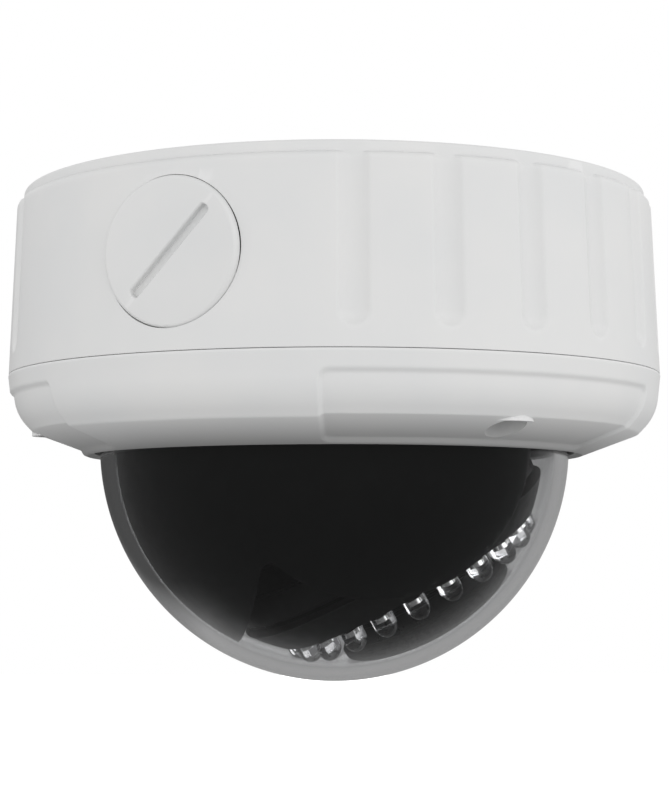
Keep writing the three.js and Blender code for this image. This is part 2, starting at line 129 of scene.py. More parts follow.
# ---------------------------------------------------------------- mesh making, in millimetres
def new_object(vertices: np.ndarray, faces: Iterable[Sequence[int]], weld: bool = False) -> Object:
    """Make a closed mesh object whose faces look outwards.

    Args:
        vertices: one row of x, y and z for each vertex.
        faces: vertex indices of each face.
        weld: whether vertices in one place are joined, as at a pole.

    Returns:
        The object, linked to the scene.
    """
    mesh = bpy.data.meshes.new("blank")
    mesh.from_pydata([tuple(v) for v in vertices], [], [tuple(f) for f in faces])
    shape = bmesh.new()
    shape.from_mesh(mesh)
    if weld:
        bmesh.ops.remove_doubles(shape, verts=shape.verts, dist=1e-4)
        bmesh.ops.dissolve_degenerate(shape, edges=shape.edges, dist=1e-5)
    if shape.calc_volume(signed=True) < 0:
        bmesh.ops.reverse_faces(shape, faces=shape.faces)
    shape.to_mesh(mesh)
    shape.free()
    thing = bpy.data.objects.new("blank", mesh)
    bpy.context.scene.collection.objects.link(thing)
    return thing


def rounded(corners: Outline, steps: int = 5) -> list[tuple[float, float]]:
    """Draw the fillets of an outline as short chords.

    Args:
        corners: r, z and, where the corner is rounded, its fillet radius.
        steps: chords of each fillet.

    Returns:
        The outline's points.
    """
    points: list[tuple[float, float]] = []
    count = len(corners)
    for i, corner in enumerate(corners):
        if len(corner) < 3 or not corner[2]:
            points.append((corner[0], corner[1]))
            continue
        here = Vector(corner[:2])
        back = (Vector(corners[i - 1][:2]) - here).normalized()
        forth = (Vector(corners[(i + 1) % count][:2]) - here).normalized()
        half = math.acos(max(-1.0, min(1.0, back.dot(forth)))) / 2
        centre = here + (back + forth).normalized() * (corner[2] / math.sin(half))
        start = here + back * (corner[2] / math.tan(half)) - centre
        end = here + forth * (corner[2] / math.tan(half)) - centre
        way = math.copysign(math.pi - 2 * half, start.x * end.y - start.y * end.x)
        for k in range(steps + 1):
            cos, sin = math.cos(way * k / steps), math.sin(way * k / steps)
            points.append((centre.x + start.x * cos - start.y * sin, centre.y + start.x * sin + start.y * cos))
    return points


def arc(radius: float, start: float, end: float, steps: int) -> list[tuple[float, float]]:
    """Outline points on a sphere about the origin, by degrees away from -Z."""
    angles = np.radians(np.linspace(start, end, steps + 1))
    return [(radius * math.sin(a), -radius * math.cos(a)) for a in angles]


def revolve(
    outline: Outline,
    segments: int = 96,
    azimuths: np.ndarray | None = None,
    reshape: Reshape | None = None,
) -> Object:
    """Turn a closed outline about the Z axis.

    Args:
        outline: r and z of each point.
        segments: facets around, where no azimuths are given.
        azimuths: the azimuths of the columns, in radians.
        reshape: changes the grids of r and z, given r, z and the azimuths.

    Returns:
        The turned object.
    """
    points = np.array([p[:2] for p in outline], float)
    around = np.linspace(0, TURN, segments, endpoint=False) if azimuths is None else azimuths
    r = np.repeat(points[:, :1], len(around), 1)
    z = np.repeat(points[:, 1:], len(around), 1)
    if reshape:
        r, z = reshape(r, z, around)
    grid = np.stack([r * np.sin(around), -r * np.cos(around), z], -1)
    rows, columns = r.shape
    index = np.arange(rows * columns).reshape(rows, columns)
    right, down = np.roll(index, -1, 1), np.roll(index, -1, 0)
    faces = np.stack([index, right, np.roll(right, -1, 0), down], -1).reshape(-1, 4)
    return new_object(grid.reshape(-1, 3), faces.tolist(), weld=bool((points[:, 0] < 1e-6).any()))


def loft(loops: Sequence[np.ndarray]) -> Object:
    """Join loops of equal length into a closed solid with a face on each end."""
    count = len(loops[0])
    faces: list[Sequence[int]] = [list(range(count)), [len(loops) * count - 1 - i for i in range(count)]]
    for level in range(len(loops) - 1):
        low = level * count
        faces += [
            (low + (i + 1) % count, low + i, low + count + i, low + count + (i + 1) % count) for i in range(count)
        ]
    return new_object(np.concatenate(loops), faces)


def tube(inner: float, outer: float, low: float, high: float, edge: float = 0.2, segments: int = 96) -> Object:
    """Make a ring with slightly rounded edges."""
    corners = [(inner, low, edge), (outer, low, edge), (outer, high, edge), (inner, high, edge)]
    return revolve(rounded(corners, 3), segments)


def pin(radius: float, low: float, high: float, x: float = 0.0, y: float = 0.0, segments: int = 48) -> Object:
    """Make a round bar along Z."""
    thing = revolve([(0, low), (radius, low), (radius, high), (0, high)], segments)
    thing.data.transform(shift(x, y))
    return thing


def oblong(width: float, depth: float, corner: float, steps: int = 5) -> np.ndarray:
    """Outline of a rectangle with round corners, centred on the origin."""
    points = []
    for k, (sx, sy) in enumerate(((1, 1), (-1, 1), (-1, -1), (1, -1))):
        for i in range(steps + 1):
            angle = (k + i / steps) * math.pi / 2
            points.append((
                sx * (width / 2 - corner) + corner * math.cos(angle),
                sy * (depth / 2 - corner) + corner * math.sin(angle),
            ))
    return np.array(points)


def raised(flat: np.ndarray, z: float) -> np.ndarray:
    """A flat outline set at a height."""
    return np.column_stack([flat, np.full(len(flat), z)])


def block(
    x: Sequence[float], y: Sequence[float], z: Sequence[float], corner: float = 0.5, edge: float = 0.2
) -> Object:
    """Make a moulded block.

    Args:
        x, y, z: lowest and highest values along each axis.
        corner: radius of the upright corners.
        edge: chamfer of the top and bottom edges.

    Returns:
        The block.
    """
    width, depth = x[1] - x[0], y[1] - y[0]
    full = oblong(width, depth, corner)
    small = oblong(width - 2 * edge, depth - 2 * edge, max(corner - edge, 0.02))
    loops = [raised(small, z[0]), raised(full, z[0] + edge), raised(full, z[1] - edge), raised(small, z[1])]
    thing = loft(loops)
    thing.data.transform(shift((x[0] + x[1]) / 2, (y[0] + y[1]) / 2))
    return thing


def bake(thing: Object) -> Object:
    """Turn an object's modifiers into its mesh."""
    evaluated = thing.evaluated_get(bpy.context.evaluated_depsgraph_get())
    mesh = bpy.data.meshes.new_from_object(evaluated)
    thing.modifiers.clear()
    thing.data = mesh
    return thing


def together(things: Sequence[Object]) -> Object:
    """Put several meshes into the first one, without joining their surfaces."""
    shape = bmesh.new()
    for thing in things:
        shape.from_mesh(thing.data)
    shape.to_mesh(things[0].data)
    shape.free()
    for thing in things[1:]:
        bpy.data.objects.remove(thing)
    return things[0]


class Join(Enum):
    """How one solid is combined with another."""

    ADD = "UNION"
    CUT = "DIFFERENCE"


def combine(body: Object, tools: Sequence[Object], how: Join = Join.CUT) -> Object:
    """Combine a solid with tools that don't touch each other.

    Args:
        body: the solid that is changed.
        tools: the solids that are added or cut away, which are used up.
        how: what is done with them.

    Returns:
        The changed solid.
    """
    tool = together(list(tools))
    change = body.modifiers.new("combine", "BOOLEAN")
    change.operation = how.value
    change.solver = "MANIFOLD"
    change.object = tool
    bake(body)
    bpy.data.objects.remove(tool)
    return body


def moved(thing: Object, *places: Matrix) -> Object:
    """Move a mesh in the making."""
    for place in places:
        thing.data.transform(place)
    return thing


def softened(thing: Object, width: float, segments: int = 2, angle: float = 40.0) -> Object:
    """Bevel the sharp edges of a piece.

    Args:
        thing: the piece.
        width: the bevel's width.
        segments: facets across it.
        angle: the smallest edge angle that is bevelled, in degrees.

    Returns:
        The same piece.
    """
    change = thing.modifiers.new("soften", "BEVEL")
    change.width = width
    change.segments = segments
    change.limit_method = "ANGLE"
    change.angle_limit = math.radians(angle)
    return bake(thing)


# ---------------------------------------------------------------- node trees
class TreeMaker:
    """Adds nodes to a tree and links them with little writing."""

    def __init__(self, tree: bpy.types.NodeTree) -> None:
        """Start on an empty tree."""
        self.tree = tree

    def add(self, kind: str, settings: dict[str, Any] | None = None, **sockets: Any) -> bpy.types.Node:
        """Add a node.

        Args:
            kind: the node's type.
            settings: its properties.
            **sockets: values or output sockets for its inputs, by name with _ for a space, or by _N for input N.

        Returns:
            The node.
        """
        node = self.tree.nodes.new(kind)
        for key, value in (settings or {}).items():
            setattr(node, key, value)
        for key, value in sockets.items():
            socket = node.inputs[int(key[1:])] if key[1:].isdigit() else node.inputs[key.replace("_", " ")]
            if isinstance(value, bpy.types.NodeSocket):
                self.tree.links.new(value, socket)
            else:
                socket.default_value = value
        return node

    def math(self, operation: str, *values: Any) -> bpy.types.NodeSocket:
        """Add a Math node on numbers or sockets and return its result."""
        inputs = {f"_{i}": value for i, value in enumerate(values)}
        return self.add("ShaderNodeMath", {"operation": operation}, **inputs).outputs[0]


class GeometryTree(TreeMaker):
    """A Geometry Nodes tree with named inputs that is baked into plain meshes."""

    def __init__(self, name: str, inputs: dict[str, str]) -> None:
        """Start a tree.

        Args:
            name: the tree's name.
            inputs: the socket type of each named input.
        """
        super().__init__(bpy.data.node_groups.new(name, "GeometryNodeTree"))
        face = self.tree.interface
        face.new_socket(name="Geometry", in_out="INPUT", socket_type="NodeSocketGeometry")
        self.sockets = {
            key: face.new_socket(name=key, in_out="INPUT", socket_type=f"NodeSocket{kind}").identifier
            for key, kind in inputs.items()
        }
        face.new_socket(name="Geometry", in_out="OUTPUT", socket_type="NodeSocketGeometry")
        self.given = self.add("NodeGroupInput").outputs
        self.result = self.add("NodeGroupOutput")

    def finish(self, geometry: bpy.types.NodeSocket) -> None:
        """End the tree by realizing its instances and giving them their material."""
        real = self.add("GeometryNodeRealizeInstances", Geometry=geometry).outputs[0]
        dressed = self.add("GeometryNodeSetMaterial", Geometry=real, Material=self.given["Finish"])
        self.tree.links.new(dressed.outputs[0], self.result.inputs[0])

    def run(self, thing: Object | None = None, **values: Any) -> Object:
        """Bake the tree.

        Args:
            thing: the object that it works on, or none where it makes everything itself.
            **values: the inputs, with _ for a space.

        Returns:
            The object with a plain mesh.
        """
        if thing is None:
            thing = bpy.data.objects.new("blank", bpy.data.meshes.new("blank"))
            bpy.context.scene.collection.objects.link(thing)
        change = thing.modifiers.new("nodes", "NODES")
        change.node_group = self.tree
        for key, value in values.items():
            change[self.sockets[key.replace("_", " ")]] = value
        return bake(thing)


class RingArray(GeometryTree):
    """Repeats one part around the Z axis."""

    def __init__(self) -> None:
        """Build the tree: points at the origin, each with the part turned by its share of a circle."""
        super().__init__("ring_array", {"Part": "Object", "Count": "Int", "Start": "Float", "Finish": "Material"})
        points = self.add("GeometryNodePoints", Count=self.given["Count"]).outputs[0]
        part = self.add("GeometryNodeObjectInfo", {"transform_space": "ORIGINAL"}, Object=self.given["Part"])
        index = self.add("GeometryNodeInputIndex").outputs[0]
        share = self.math("DIVIDE", index, self.given["Count"])
        angle = self.math("ADD", self.math("MULTIPLY", share, TURN), self.given["Start"])
        turn = self.add("ShaderNodeCombineXYZ", Z=angle).outputs[0]
        parts = self.add(
            "GeometryNodeInstanceOnPoints", Points=points, Instance=part.outputs["Geometry"], Rotation=turn
        )
        self.finish(parts.outputs[0])

    def around(self, part: Object, count: int, finish: Material, start: float = 0.0) -> Object:
        """Repeat a part.

        Args:
            part: the part at the first place, which is used up.
            count: how many there are.
            finish: their material.
            start: the first one's extra turn, in radians.

        Returns:
            One object with all of them.
        """
        ring = self.run(Part=part, Count=count, Start=start, Finish=finish)
        bpy.data.objects.remove(part)
        return ring


class FlutedWall(GeometryTree):
    """Presses upright flutes with round lower ends into a turned wall."""

    def __init__(self) -> None:
        """Build the tree, which moves the wall's points inwards by the depth of the nearest flute."""
        super().__init__("fluted_wall", {
            "Pitch": "Float", "First": "Float", "Last Index": "Float", "Cutter Radius": "Float", "Depth": "Float",
            "End Height": "Float", "Floor Radius": "Float", "Softness": "Float", "Finish": "Material",
        })
        m, given = self.math, self.given
        place = self.add("ShaderNodeSeparateXYZ", Vector=self.add("GeometryNodeInputPosition").outputs[0]).outputs
        radius = m("SQRT", m("ADD", m("MULTIPLY", place[0], place[0]), m("MULTIPLY", place[1], place[1])))
        azimuth = m("ARCTAN2", place[0], m("MULTIPLY", place[1], -1.0))
        half = m("MULTIPLY", given["Pitch"], 0.5)
        along = m("FLOORED_MODULO", m("ADD", m("SUBTRACT", azimuth, given["First"]), half), TURN)
        which = m("MINIMUM", m("FLOOR", m("DIVIDE", along, given["Pitch"])), given["Last Index"])
        aside = m("MULTIPLY", radius, m("SUBTRACT", m("SUBTRACT", along, half), m("MULTIPLY", which, given["Pitch"])))
        under = m("MAXIMUM", m("SUBTRACT", given["End Height"], place[2]), 0.0)
        away = m("ADD", m("MULTIPLY", aside, aside), m("MULTIPLY", under, under))
        cutter = given["Cutter Radius"]
        reach = m("SQRT", m("MAXIMUM", m("SUBTRACT", m("MULTIPLY", cutter, cutter), away), 0.0))
        bite = m("SUBTRACT", reach, m("SUBTRACT", cutter, given["Depth"]))
        depth = m("SMOOTH_MAX", bite, 0.0, given["Softness"])
        kept = m("MAXIMUM", m("SUBTRACT", radius, depth), given["Floor Radius"])
        scale = m("DIVIDE", kept, radius)
        target = self.add(
            "ShaderNodeCombineXYZ", X=m("MULTIPLY", place[0], scale), Y=m("MULTIPLY", place[1], scale), Z=place[2]
        )
        outside = m("GREATER_THAN", radius, given["Floor Radius"])
        wall = self.add(
            "GeometryNodeSetPosition", Geometry=given["Geometry"], Selection=outside, Position=target.outputs[0]
        )
        self.finish(wall.outputs[0])


class BoardParts(GeometryTree):
    """Scatters one kind of small component over a circuit board, clear of the other kinds."""

    def __init__(self) -> None:
        """Build the tree: evenly spaced points, of which each kind takes its own share."""
        super().__init__("board_parts", {
            "Part": "Object", "Spacing": "Float", "Kind": "Int", "Kinds": "Int", "Seed": "Int",
            "Small": "Vector", "Large": "Vector", "Finish": "Material",
        })
        given = self.given
        points = self.add(
            "GeometryNodeDistributePointsOnFaces", {"distribute_method": "POISSON"}, Mesh=given["Geometry"],
            Distance_Min=given["Spacing"], Density_Max=1.0, Seed=given["Seed"],
        ).outputs["Points"]
        top = self.math("SUBTRACT", given["Kinds"], 1)
        kind = self.random("INT", 0, top, self.math("ADD", given["Seed"], 1))
        mine = self.math("COMPARE", kind, given["Kind"], 0.1)
        quarter = self.math("MULTIPLY", self.random("INT", 0, 3, given["Seed"]), math.pi / 2)
        size = self.add(
            "FunctionNodeRandomValue", {"data_type": "FLOAT_VECTOR"}, _0=given["Small"], _1=given["Large"],
            Seed=given["Seed"],
        ).outputs[0]
        part = self.add("GeometryNodeObjectInfo", {"transform_space": "ORIGINAL"}, Object=given["Part"])
        turn = self.add("ShaderNodeCombineXYZ", Z=quarter).outputs[0]
        parts = self.add(
            "GeometryNodeInstanceOnPoints", Points=points, Selection=mine, Instance=part.outputs["Geometry"],
            Rotation=turn, Scale=size,
        )
        self.finish(parts.outputs[0])

    def random(self, kind: str, low: Any, high: Any, seed: Any) -> bpy.types.NodeSocket:
        """Add a random whole number between two bounds and return its socket."""
        node = self.add("FunctionNodeRandomValue", {"data_type": kind}, _4=low, _5=high, Seed=seed)
        return node.outputs[2]


# ---------------------------------------------------------------- finishes
class Grain(Enum):
    """Kinds of fine relief."""

    PEEL = "smooth ripple of sprayed powder"
    SPARK = "fine texture of a spark-eroded mould"
    SPECKLE = "pores of rubber or foam"
    BRUSH = "fine scratches of turned or plated metal"
    SMEAR = "faint uneven gloss of polished clear parts"


MADE: dict[str, Material] = {}
COAT_ROUGHNESS = 0.12


@dataclass(frozen=True)
class Finish:
    """A procedural surface: its colour, gloss and relief, how each of them varies, and, where given, a painted shade on
    its colour.
    """

    name: str
    colour: Colour
    tint: Colour
    rough: tuple[float, float]
    grain: Grain
    grain_size: float
    relief: float
    mottle: float = 14.0
    metallic: float = 0.0
    worn: Colour | None = None
    ior: float = 1.5
    transmission: float = 0.0
    coat: float = 0.0
    film: float = 0.0
    # Painted shade: inner radius, outer radius, height level and least colour factor, in millimetres; below the level
    # the colour darkens towards the inner radius.
    painted_shade: tuple[float, float, float, float] | None = None

    def make(self) -> Material:
        """Build the material, or find it where it is already made.

        Returns:
            The material.
        """
        if self.name in MADE:
            return MADE[self.name]
        made = MADE[self.name] = bpy.data.materials.new(self.name)
        made.use_nodes = True
        maker = TreeMaker(made.node_tree)
        shader = made.node_tree.nodes["Principled BSDF"]
        shader.inputs["Metallic"].default_value = self.metallic
        shader.inputs["IOR"].default_value = self.ior
        shader.inputs["Transmission Weight"].default_value = self.transmission
        shader.inputs["Coat Weight"].default_value = self.coat
        shader.inputs["Coat Roughness"].default_value = COAT_ROUGHNESS
        shader.inputs["Thin Film Thickness"].default_value = self.film
        place = maker.add("ShaderNodeTexCoord").outputs["Object"]
        self.paint(maker, shader, place)
        self.gloss(maker, shader, place)
        self.emboss(maker, shader, place)
        return made

    def paint(self, maker: TreeMaker, shader: bpy.types.Node, place: bpy.types.NodeSocket) -> None:
        """Mottle the colour between its two tones, wear it on the edges where the finish wears, and, where a painted
        shade is given, darken it as painted shade towards an inner radius below a level.
        """
        link = maker.tree.links.new
        if self.transmission:
            shader.inputs["Base Color"].default_value = (*self.colour, 1)
            return
        cloud = maker.add("ShaderNodeTexNoise", Vector=place, Scale=1 / (self.mottle * MM), Detail=3.0)
        ramp = maker.add("ShaderNodeValToRGB", Fac=cloud.outputs[0])
        ramp.color_ramp.elements[0].position, ramp.color_ramp.elements[1].position = 0.35, 0.65
        ramp.color_ramp.elements[0].color = (*self.colour, 1)
        ramp.color_ramp.elements[1].color = (*self.tint, 1)
        colour = ramp.outputs[0]
        if self.worn:
            corner = maker.add("ShaderNodeNewGeometry").outputs["Pointiness"]
            edge = maker.add("ShaderNodeMapRange", Value=corner, From_Min=0.52, From_Max=0.6, To_Max=0.8).outputs[0]
            blend = maker.add("ShaderNodeMix", {"data_type": "RGBA"}, _0=edge, _6=colour, _7=(*self.worn, 1))
            colour = blend.outputs[2]
        # Painted shade: below the level, the colour is scaled from 1 at the outer radius down to the least factor at
        # the inner radius, standing in for shade.
        if self.painted_shade:
            x, y, z = maker.add("ShaderNodeSeparateXYZ", Vector=place).outputs
            m, (inner, outer, level, least) = maker.math, self.painted_shade
            radius = m("SQRT", m("ADD", m("MULTIPLY", x, x), m("MULTIPLY", y, y)))
            near = maker.add("ShaderNodeMapRange", Value=radius, From_Min=inner * MM, From_Max=outer * MM,
                             To_Min=least, To_Max=1.0).outputs[0]
            above = m("GREATER_THAN", z, level * MM)
            colour = maker.add("ShaderNodeVectorMath", {"operation": "SCALE"}, _0=colour,
                               Scale=m("MAXIMUM", near, above)).outputs[0]
        link(colour, shader.inputs["Base Color"])

    def gloss(self, maker: TreeMaker, shader: bpy.types.Node, place: bpy.types.NodeSocket) -> None:
        """Vary the roughness in soft patches."""
        patch = maker.add("ShaderNodeTexNoise", Vector=place, Scale=1.9 / (self.mottle * MM), Detail=5.0)
        spread = maker.add(
            "ShaderNodeMapRange", Value=patch.outputs[0], From_Min=0.3, From_Max=0.7,
            To_Min=self.rough[0], To_Max=self.rough[1],
        )
        maker.tree.links.new(spread.outputs[0], shader.inputs["Roughness"])

    def emboss(self, maker: TreeMaker, shader: bpy.types.Node, place: bpy.types.NodeSocket) -> None:
        """Add the fine relief of the finish."""
        scale = 1 / (self.grain_size * MM)
        if self.grain is Grain.SPECKLE:
            height = maker.add("ShaderNodeTexVoronoi", {"feature": "SMOOTH_F1"}, Vector=place, Scale=scale).outputs[0]
        elif self.grain is Grain.BRUSH:
            drawn = maker.add("ShaderNodeMapping", Vector=place, Scale=(1.0, 1.0, 0.08)).outputs[0]
            height = maker.add("ShaderNodeTexNoise", Vector=drawn, Scale=scale, Detail=4.0).outputs[0]
        else:
            detail = {Grain.PEEL: 1.0, Grain.SPARK: 6.0, Grain.SMEAR: 0.0}[self.grain]
            height = maker.add("ShaderNodeTexNoise", Vector=place, Scale=scale, Detail=detail).outputs[0]
        bump = maker.add("ShaderNodeBump", Height=height, Distance=self.relief * MM)
        maker.tree.links.new(bump.outputs[0], shader.inputs["Normal"])


@dataclass(frozen=True)
class BoardFinish(Finish):
    """Green solder mask with copper tracks under it."""

    def paint(self, maker: TreeMaker, shader: bpy.types.Node, place: bpy.types.NodeSocket) -> None:
        """Draw tracks as a square-cornered net in a lighter green, with tinned dots."""
        net = maker.add(
            "ShaderNodeTexBrick", {"offset": 0.37, "squash": 0.6, "squash_frequency": 3}, Vector=place,
            Color1=(*self.colour, 1), Color2=(*self.colour, 1), Mortar=(*self.tint, 1), Scale=1 / (7 * MM),
            Mortar_Size=0.06, Brick_Width=0.8, Row_Height=0.23,
        )
        dots = maker.add("ShaderNodeTexVoronoi", Vector=place, Scale=1 / (3.1 * MM), Randomness=0.8).outputs[0]
        pad = maker.math("LESS_THAN", dots, 0.13)
        blend = maker.add(
            "ShaderNodeMix", {"data_type": "RGBA"}, _0=pad, _6=net.outputs[0], _7=(0.55, 0.55, 0.52, 1)
        )
        maker.tree.links.new(blend.outputs[2], shader.inputs["Base Color"])


POWDER_COAT = Finish(
    "satin_white_powder_coat", (0.80, 0.80, 0.795), (0.775, 0.78, 0.78), (0.40, 0.48), Grain.PEEL, 0.55, 0.004,
    mottle=22, worn=(0.84, 0.84, 0.84),
)
# The cover's paint with painted shade: below z = -52.5 mm it darkens from radius 67 mm in to 55.2 mm round the dome,
# down to 0.42 of its colour.
COVER_COAT_PAINTED_SHADE = replace(POWDER_COAT, name="satin_white_cover_coat_painted_shade", painted_shade=(55.2, 67.0, -52.5, 0.42))
CLEAR_DOME = Finish(
    "clear_moulded_dome", (0.88, 0.885, 0.89), (0.9, 0.9, 0.9), (0.0, 0.008), Grain.SMEAR, 40, 0.01,
    mottle=30, ior=1.585, transmission=1.0,
)
LED_EPOXY = Finish(
    "water_clear_epoxy", (0.97, 0.97, 0.98), (0.9, 0.9, 0.9), (0.02, 0.05), Grain.SMEAR, 2.5, 0.01,
    mottle=4, ior=1.54, transmission=1.0,
)
LENS_GLASS = Finish(
    "coated_lens_glass", (0.80, 0.82, 0.86), (0.8, 0.8, 0.8), (0.0, 0.01), Grain.SMEAR, 30, 0.001,
    mottle=20, ior=1.6, transmission=1.0, film=330.0,
)
FILTER_GLASS = Finish(
    "infrared_filter_glass", (0.35, 0.62, 0.70), (0.8, 0.8, 0.8), (0.0, 0.02), Grain.SMEAR, 30, 0.001,
    mottle=20, ior=1.52, transmission=1.0, film=480.0,
)
LINER_BLACK = Finish(
    "satin_black_liner", (0.0045, 0.0045, 0.005), (0.0065, 0.0065, 0.007), (0.34, 0.46), Grain.SPARK, 0.5, 0.006,
    mottle=9,
)
BLACK_PLASTIC = Finish(
    "textured_black_plastic", (0.010, 0.010, 0.011), (0.016, 0.016, 0.017), (0.42, 0.55), Grain.SPARK, 0.35, 0.012,
    mottle=6, worn=(0.04, 0.04, 0.042),
)
LENS_BLACK = Finish(
    "satin_lens_black", (0.012, 0.012, 0.013), (0.018, 0.018, 0.019), (0.26, 0.36), Grain.SPARK, 0.25, 0.005,
    mottle=5, worn=(0.05, 0.05, 0.052),
)
RUBBER = Finish(
    "matte_black_rubber", (0.012, 0.012, 0.012), (0.022, 0.022, 0.021), (0.70, 0.85), Grain.SPECKLE, 0.4, 0.03,
    mottle=3,
)
FOAM = Finish(
    "black_sponge_rubber", (0.010, 0.010, 0.010), (0.03, 0.03, 0.03), (0.80, 0.92), Grain.SPECKLE, 0.55, 0.09,
    mottle=1.2,
)
GREY_PLASTIC = Finish(
    "matte_grey_plastic", (0.27, 0.28, 0.29), (0.31, 0.32, 0.33), (0.42, 0.55), Grain.SPARK, 0.3, 0.01, mottle=4,
)
CHIP_BLACK = Finish(
    "chip_epoxy_black", (0.018, 0.018, 0.019), (0.028, 0.028, 0.028), (0.5, 0.6), Grain.SPARK, 0.12, 0.008, mottle=2,
)
CERAMIC = Finish(
    "capacitor_ceramic", (0.38, 0.27, 0.16), (0.45, 0.34, 0.22), (0.35, 0.5), Grain.SPARK, 0.2, 0.005, mottle=2,
)
STEEL = Finish(
    "zinc_plated_steel", (0.58, 0.59, 0.60), (0.66, 0.66, 0.65), (0.24, 0.38), Grain.BRUSH, 0.25, 0.004,
    mottle=5, metallic=1.0, worn=(0.8, 0.8, 0.8),
)
LEADFRAME = Finish(
    "silvered_leadframe", (0.86, 0.86, 0.85), (0.74, 0.74, 0.73), (0.10, 0.22), Grain.BRUSH, 0.3, 0.004,
    mottle=2, metallic=1.0,
)
BRASS = Finish(
    "turned_brass", (0.62, 0.45, 0.19), (0.70, 0.53, 0.25), (0.20, 0.34), Grain.BRUSH, 0.25, 0.005,
    mottle=4, metallic=1.0, worn=(0.85, 0.7, 0.4),
)
BOARD_GREEN = BoardFinish(
    "green_solder_mask", (0.012, 0.07, 0.03), (0.03, 0.15, 0.07), (0.28, 0.4), Grain.SPARK, 0.6, 0.004, mottle=6,
)
BOARD_BLACK = Finish(
    "black_solder_mask", (0.014, 0.014, 0.015), (0.022, 0.022, 0.024), (0.3, 0.4), Grain.SPARK, 0.5, 0.004, mottle=5,
)


# ---------------------------------------------------------------- settling pieces in the frame
def settle(
    thing: Object,
    name: str,
    body: str,
    finish: Finish,
    place: Matrix = HERE,
    nodes: Sequence[str] = (),
    sharp: float = 35.0,
) -> Object:
    """Put a finished mesh in its place, dress it and tie it to its body.

    Args:
        thing: the piece, made in millimetres about its own axis.
        name: the piece's name.
        body: the CAD body that it moves with.
        finish: its surface.
        place: where it goes, in millimetres.
        nodes: the CAD nodes that it stands for.
        sharp: the edge angle in degrees above which shading breaks.

    Returns:
        The settled piece.
    """
    thing.data.transform(Matrix.Scale(MM, 4) @ place)
    thing.name = thing.data.name = name
    thing.data.materials.clear()
    thing.data.materials.append(finish.make())
    thing.data.polygons.foreach_set("material_index", [0] * len(thing.data.polygons))
    thing.data.polygons.foreach_set("use_smooth", [True] * len(thing.data.polygons))
    thing.data.set_sharp_from_angle(angle=math.radians(sharp))
    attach(thing, body)
    if nodes:
        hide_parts(*nodes)
    log.info("%s: %d faces on %s", name, len(thing.data.polygons), body)
    return thing


RING_ARRAY = RingArray()
FLUTED_WALL = FlutedWall()
BOARD_PARTS = BoardParts()


class Drive(Enum):
    """Recesses in a screw's head."""

    TORX_PIN = "six lobes round a security pin"
    CROSS = "cross recess"
    NONE = "no recess"


@dataclass(frozen=True)
class Screw:
    """A machine screw along Z whose head is at its low end and faces down."""

    head_radius: float
    head_low: float
    head_high: float
    shank_radius: float
    shank_high: float
    drive: Drive = Drive.CROSS
    dome: float = 0.5
    pitch: float = 0.7

    def build(self) -> Object:
        """Make the screw with a domed head, a drive recess and ridged threads.

        Returns:
            The screw.
        """
        start = self.head_high + 0.6
        outline: list[Sequence[float]] = [
            (0, self.head_low), (self.head_radius, self.head_low, self.dome), (self.head_radius, self.head_high, 0.15),
            (self.shank_radius, self.head_high), (self.shank_radius, start),
        ]
        ridges = int((self.shank_high - start - 0.6) / self.pitch)
        for k in range(ridges):
            z = start + self.pitch * k
            outline += [(self.shank_radius * 0.84, z + self.pitch / 2), (self.shank_radius, z + self.pitch)]
        outline += [(self.shank_radius * 0.8, self.shank_high), (0, self.shank_high)]
        body = revolve(rounded(outline, 4), 40)
        if self.drive is Drive.NONE:
            return body
        return combine(body, [self.recess()])

    def recess(self) -> Object:
        """Make the tool that cuts the drive recess."""
        top, bottom = self.head_low + (self.head_high - self.head_low) * 0.55, self.head_low - 0.5
        reach = self.head_radius * 0.52
        angles = np.linspace(0, TURN, 72, endpoint=False)
        if self.drive is Drive.TORX_PIN:
            radii = reach * (0.86 + 0.14 * np.cos(6 * angles))
        else:
            spread = np.abs(((angles + math.pi / 4) % (math.pi / 2)) - math.pi / 4)
            radii = np.minimum(reach * 1.1, 0.16 * self.head_radius / np.maximum(np.sin(spread), 0.02))
        flat = np.column_stack([radii * np.cos(angles), radii * np.sin(angles)])
        tool = loft([raised(flat, bottom), raised(flat, self.head_low + 0.1), raised(flat * 0.86, top)])
        if self.drive is Drive.TORX_PIN:
            post = revolve([(0, self.head_low + 0.45), (0.42, self.head_low + 0.5), (0.42, top + 1), (0, top + 1)], 24)
            tool = combine(tool, [post])
        return tool


def knurled(radius: float, low: float, high: float, teeth: int, depth: float = 0.35) -> Object:
    """Make a knurled knob along Z with chamfered ends."""
    angles = np.linspace(0, TURN, 6 * teeth, endpoint=False)
    ridge = radius - depth / 2 + depth / 2 * np.cos(angles * teeth)
    core = np.full_like(ridge, radius - depth - 0.25)
    loops = [(core, low), (ridge, low + 0.35), (ridge, high - 0.35), (core, high)]
    return loft([np.column_stack([r * np.cos(angles), r * np.sin(angles), np.full_like(r, z)]) for r, z in loops])


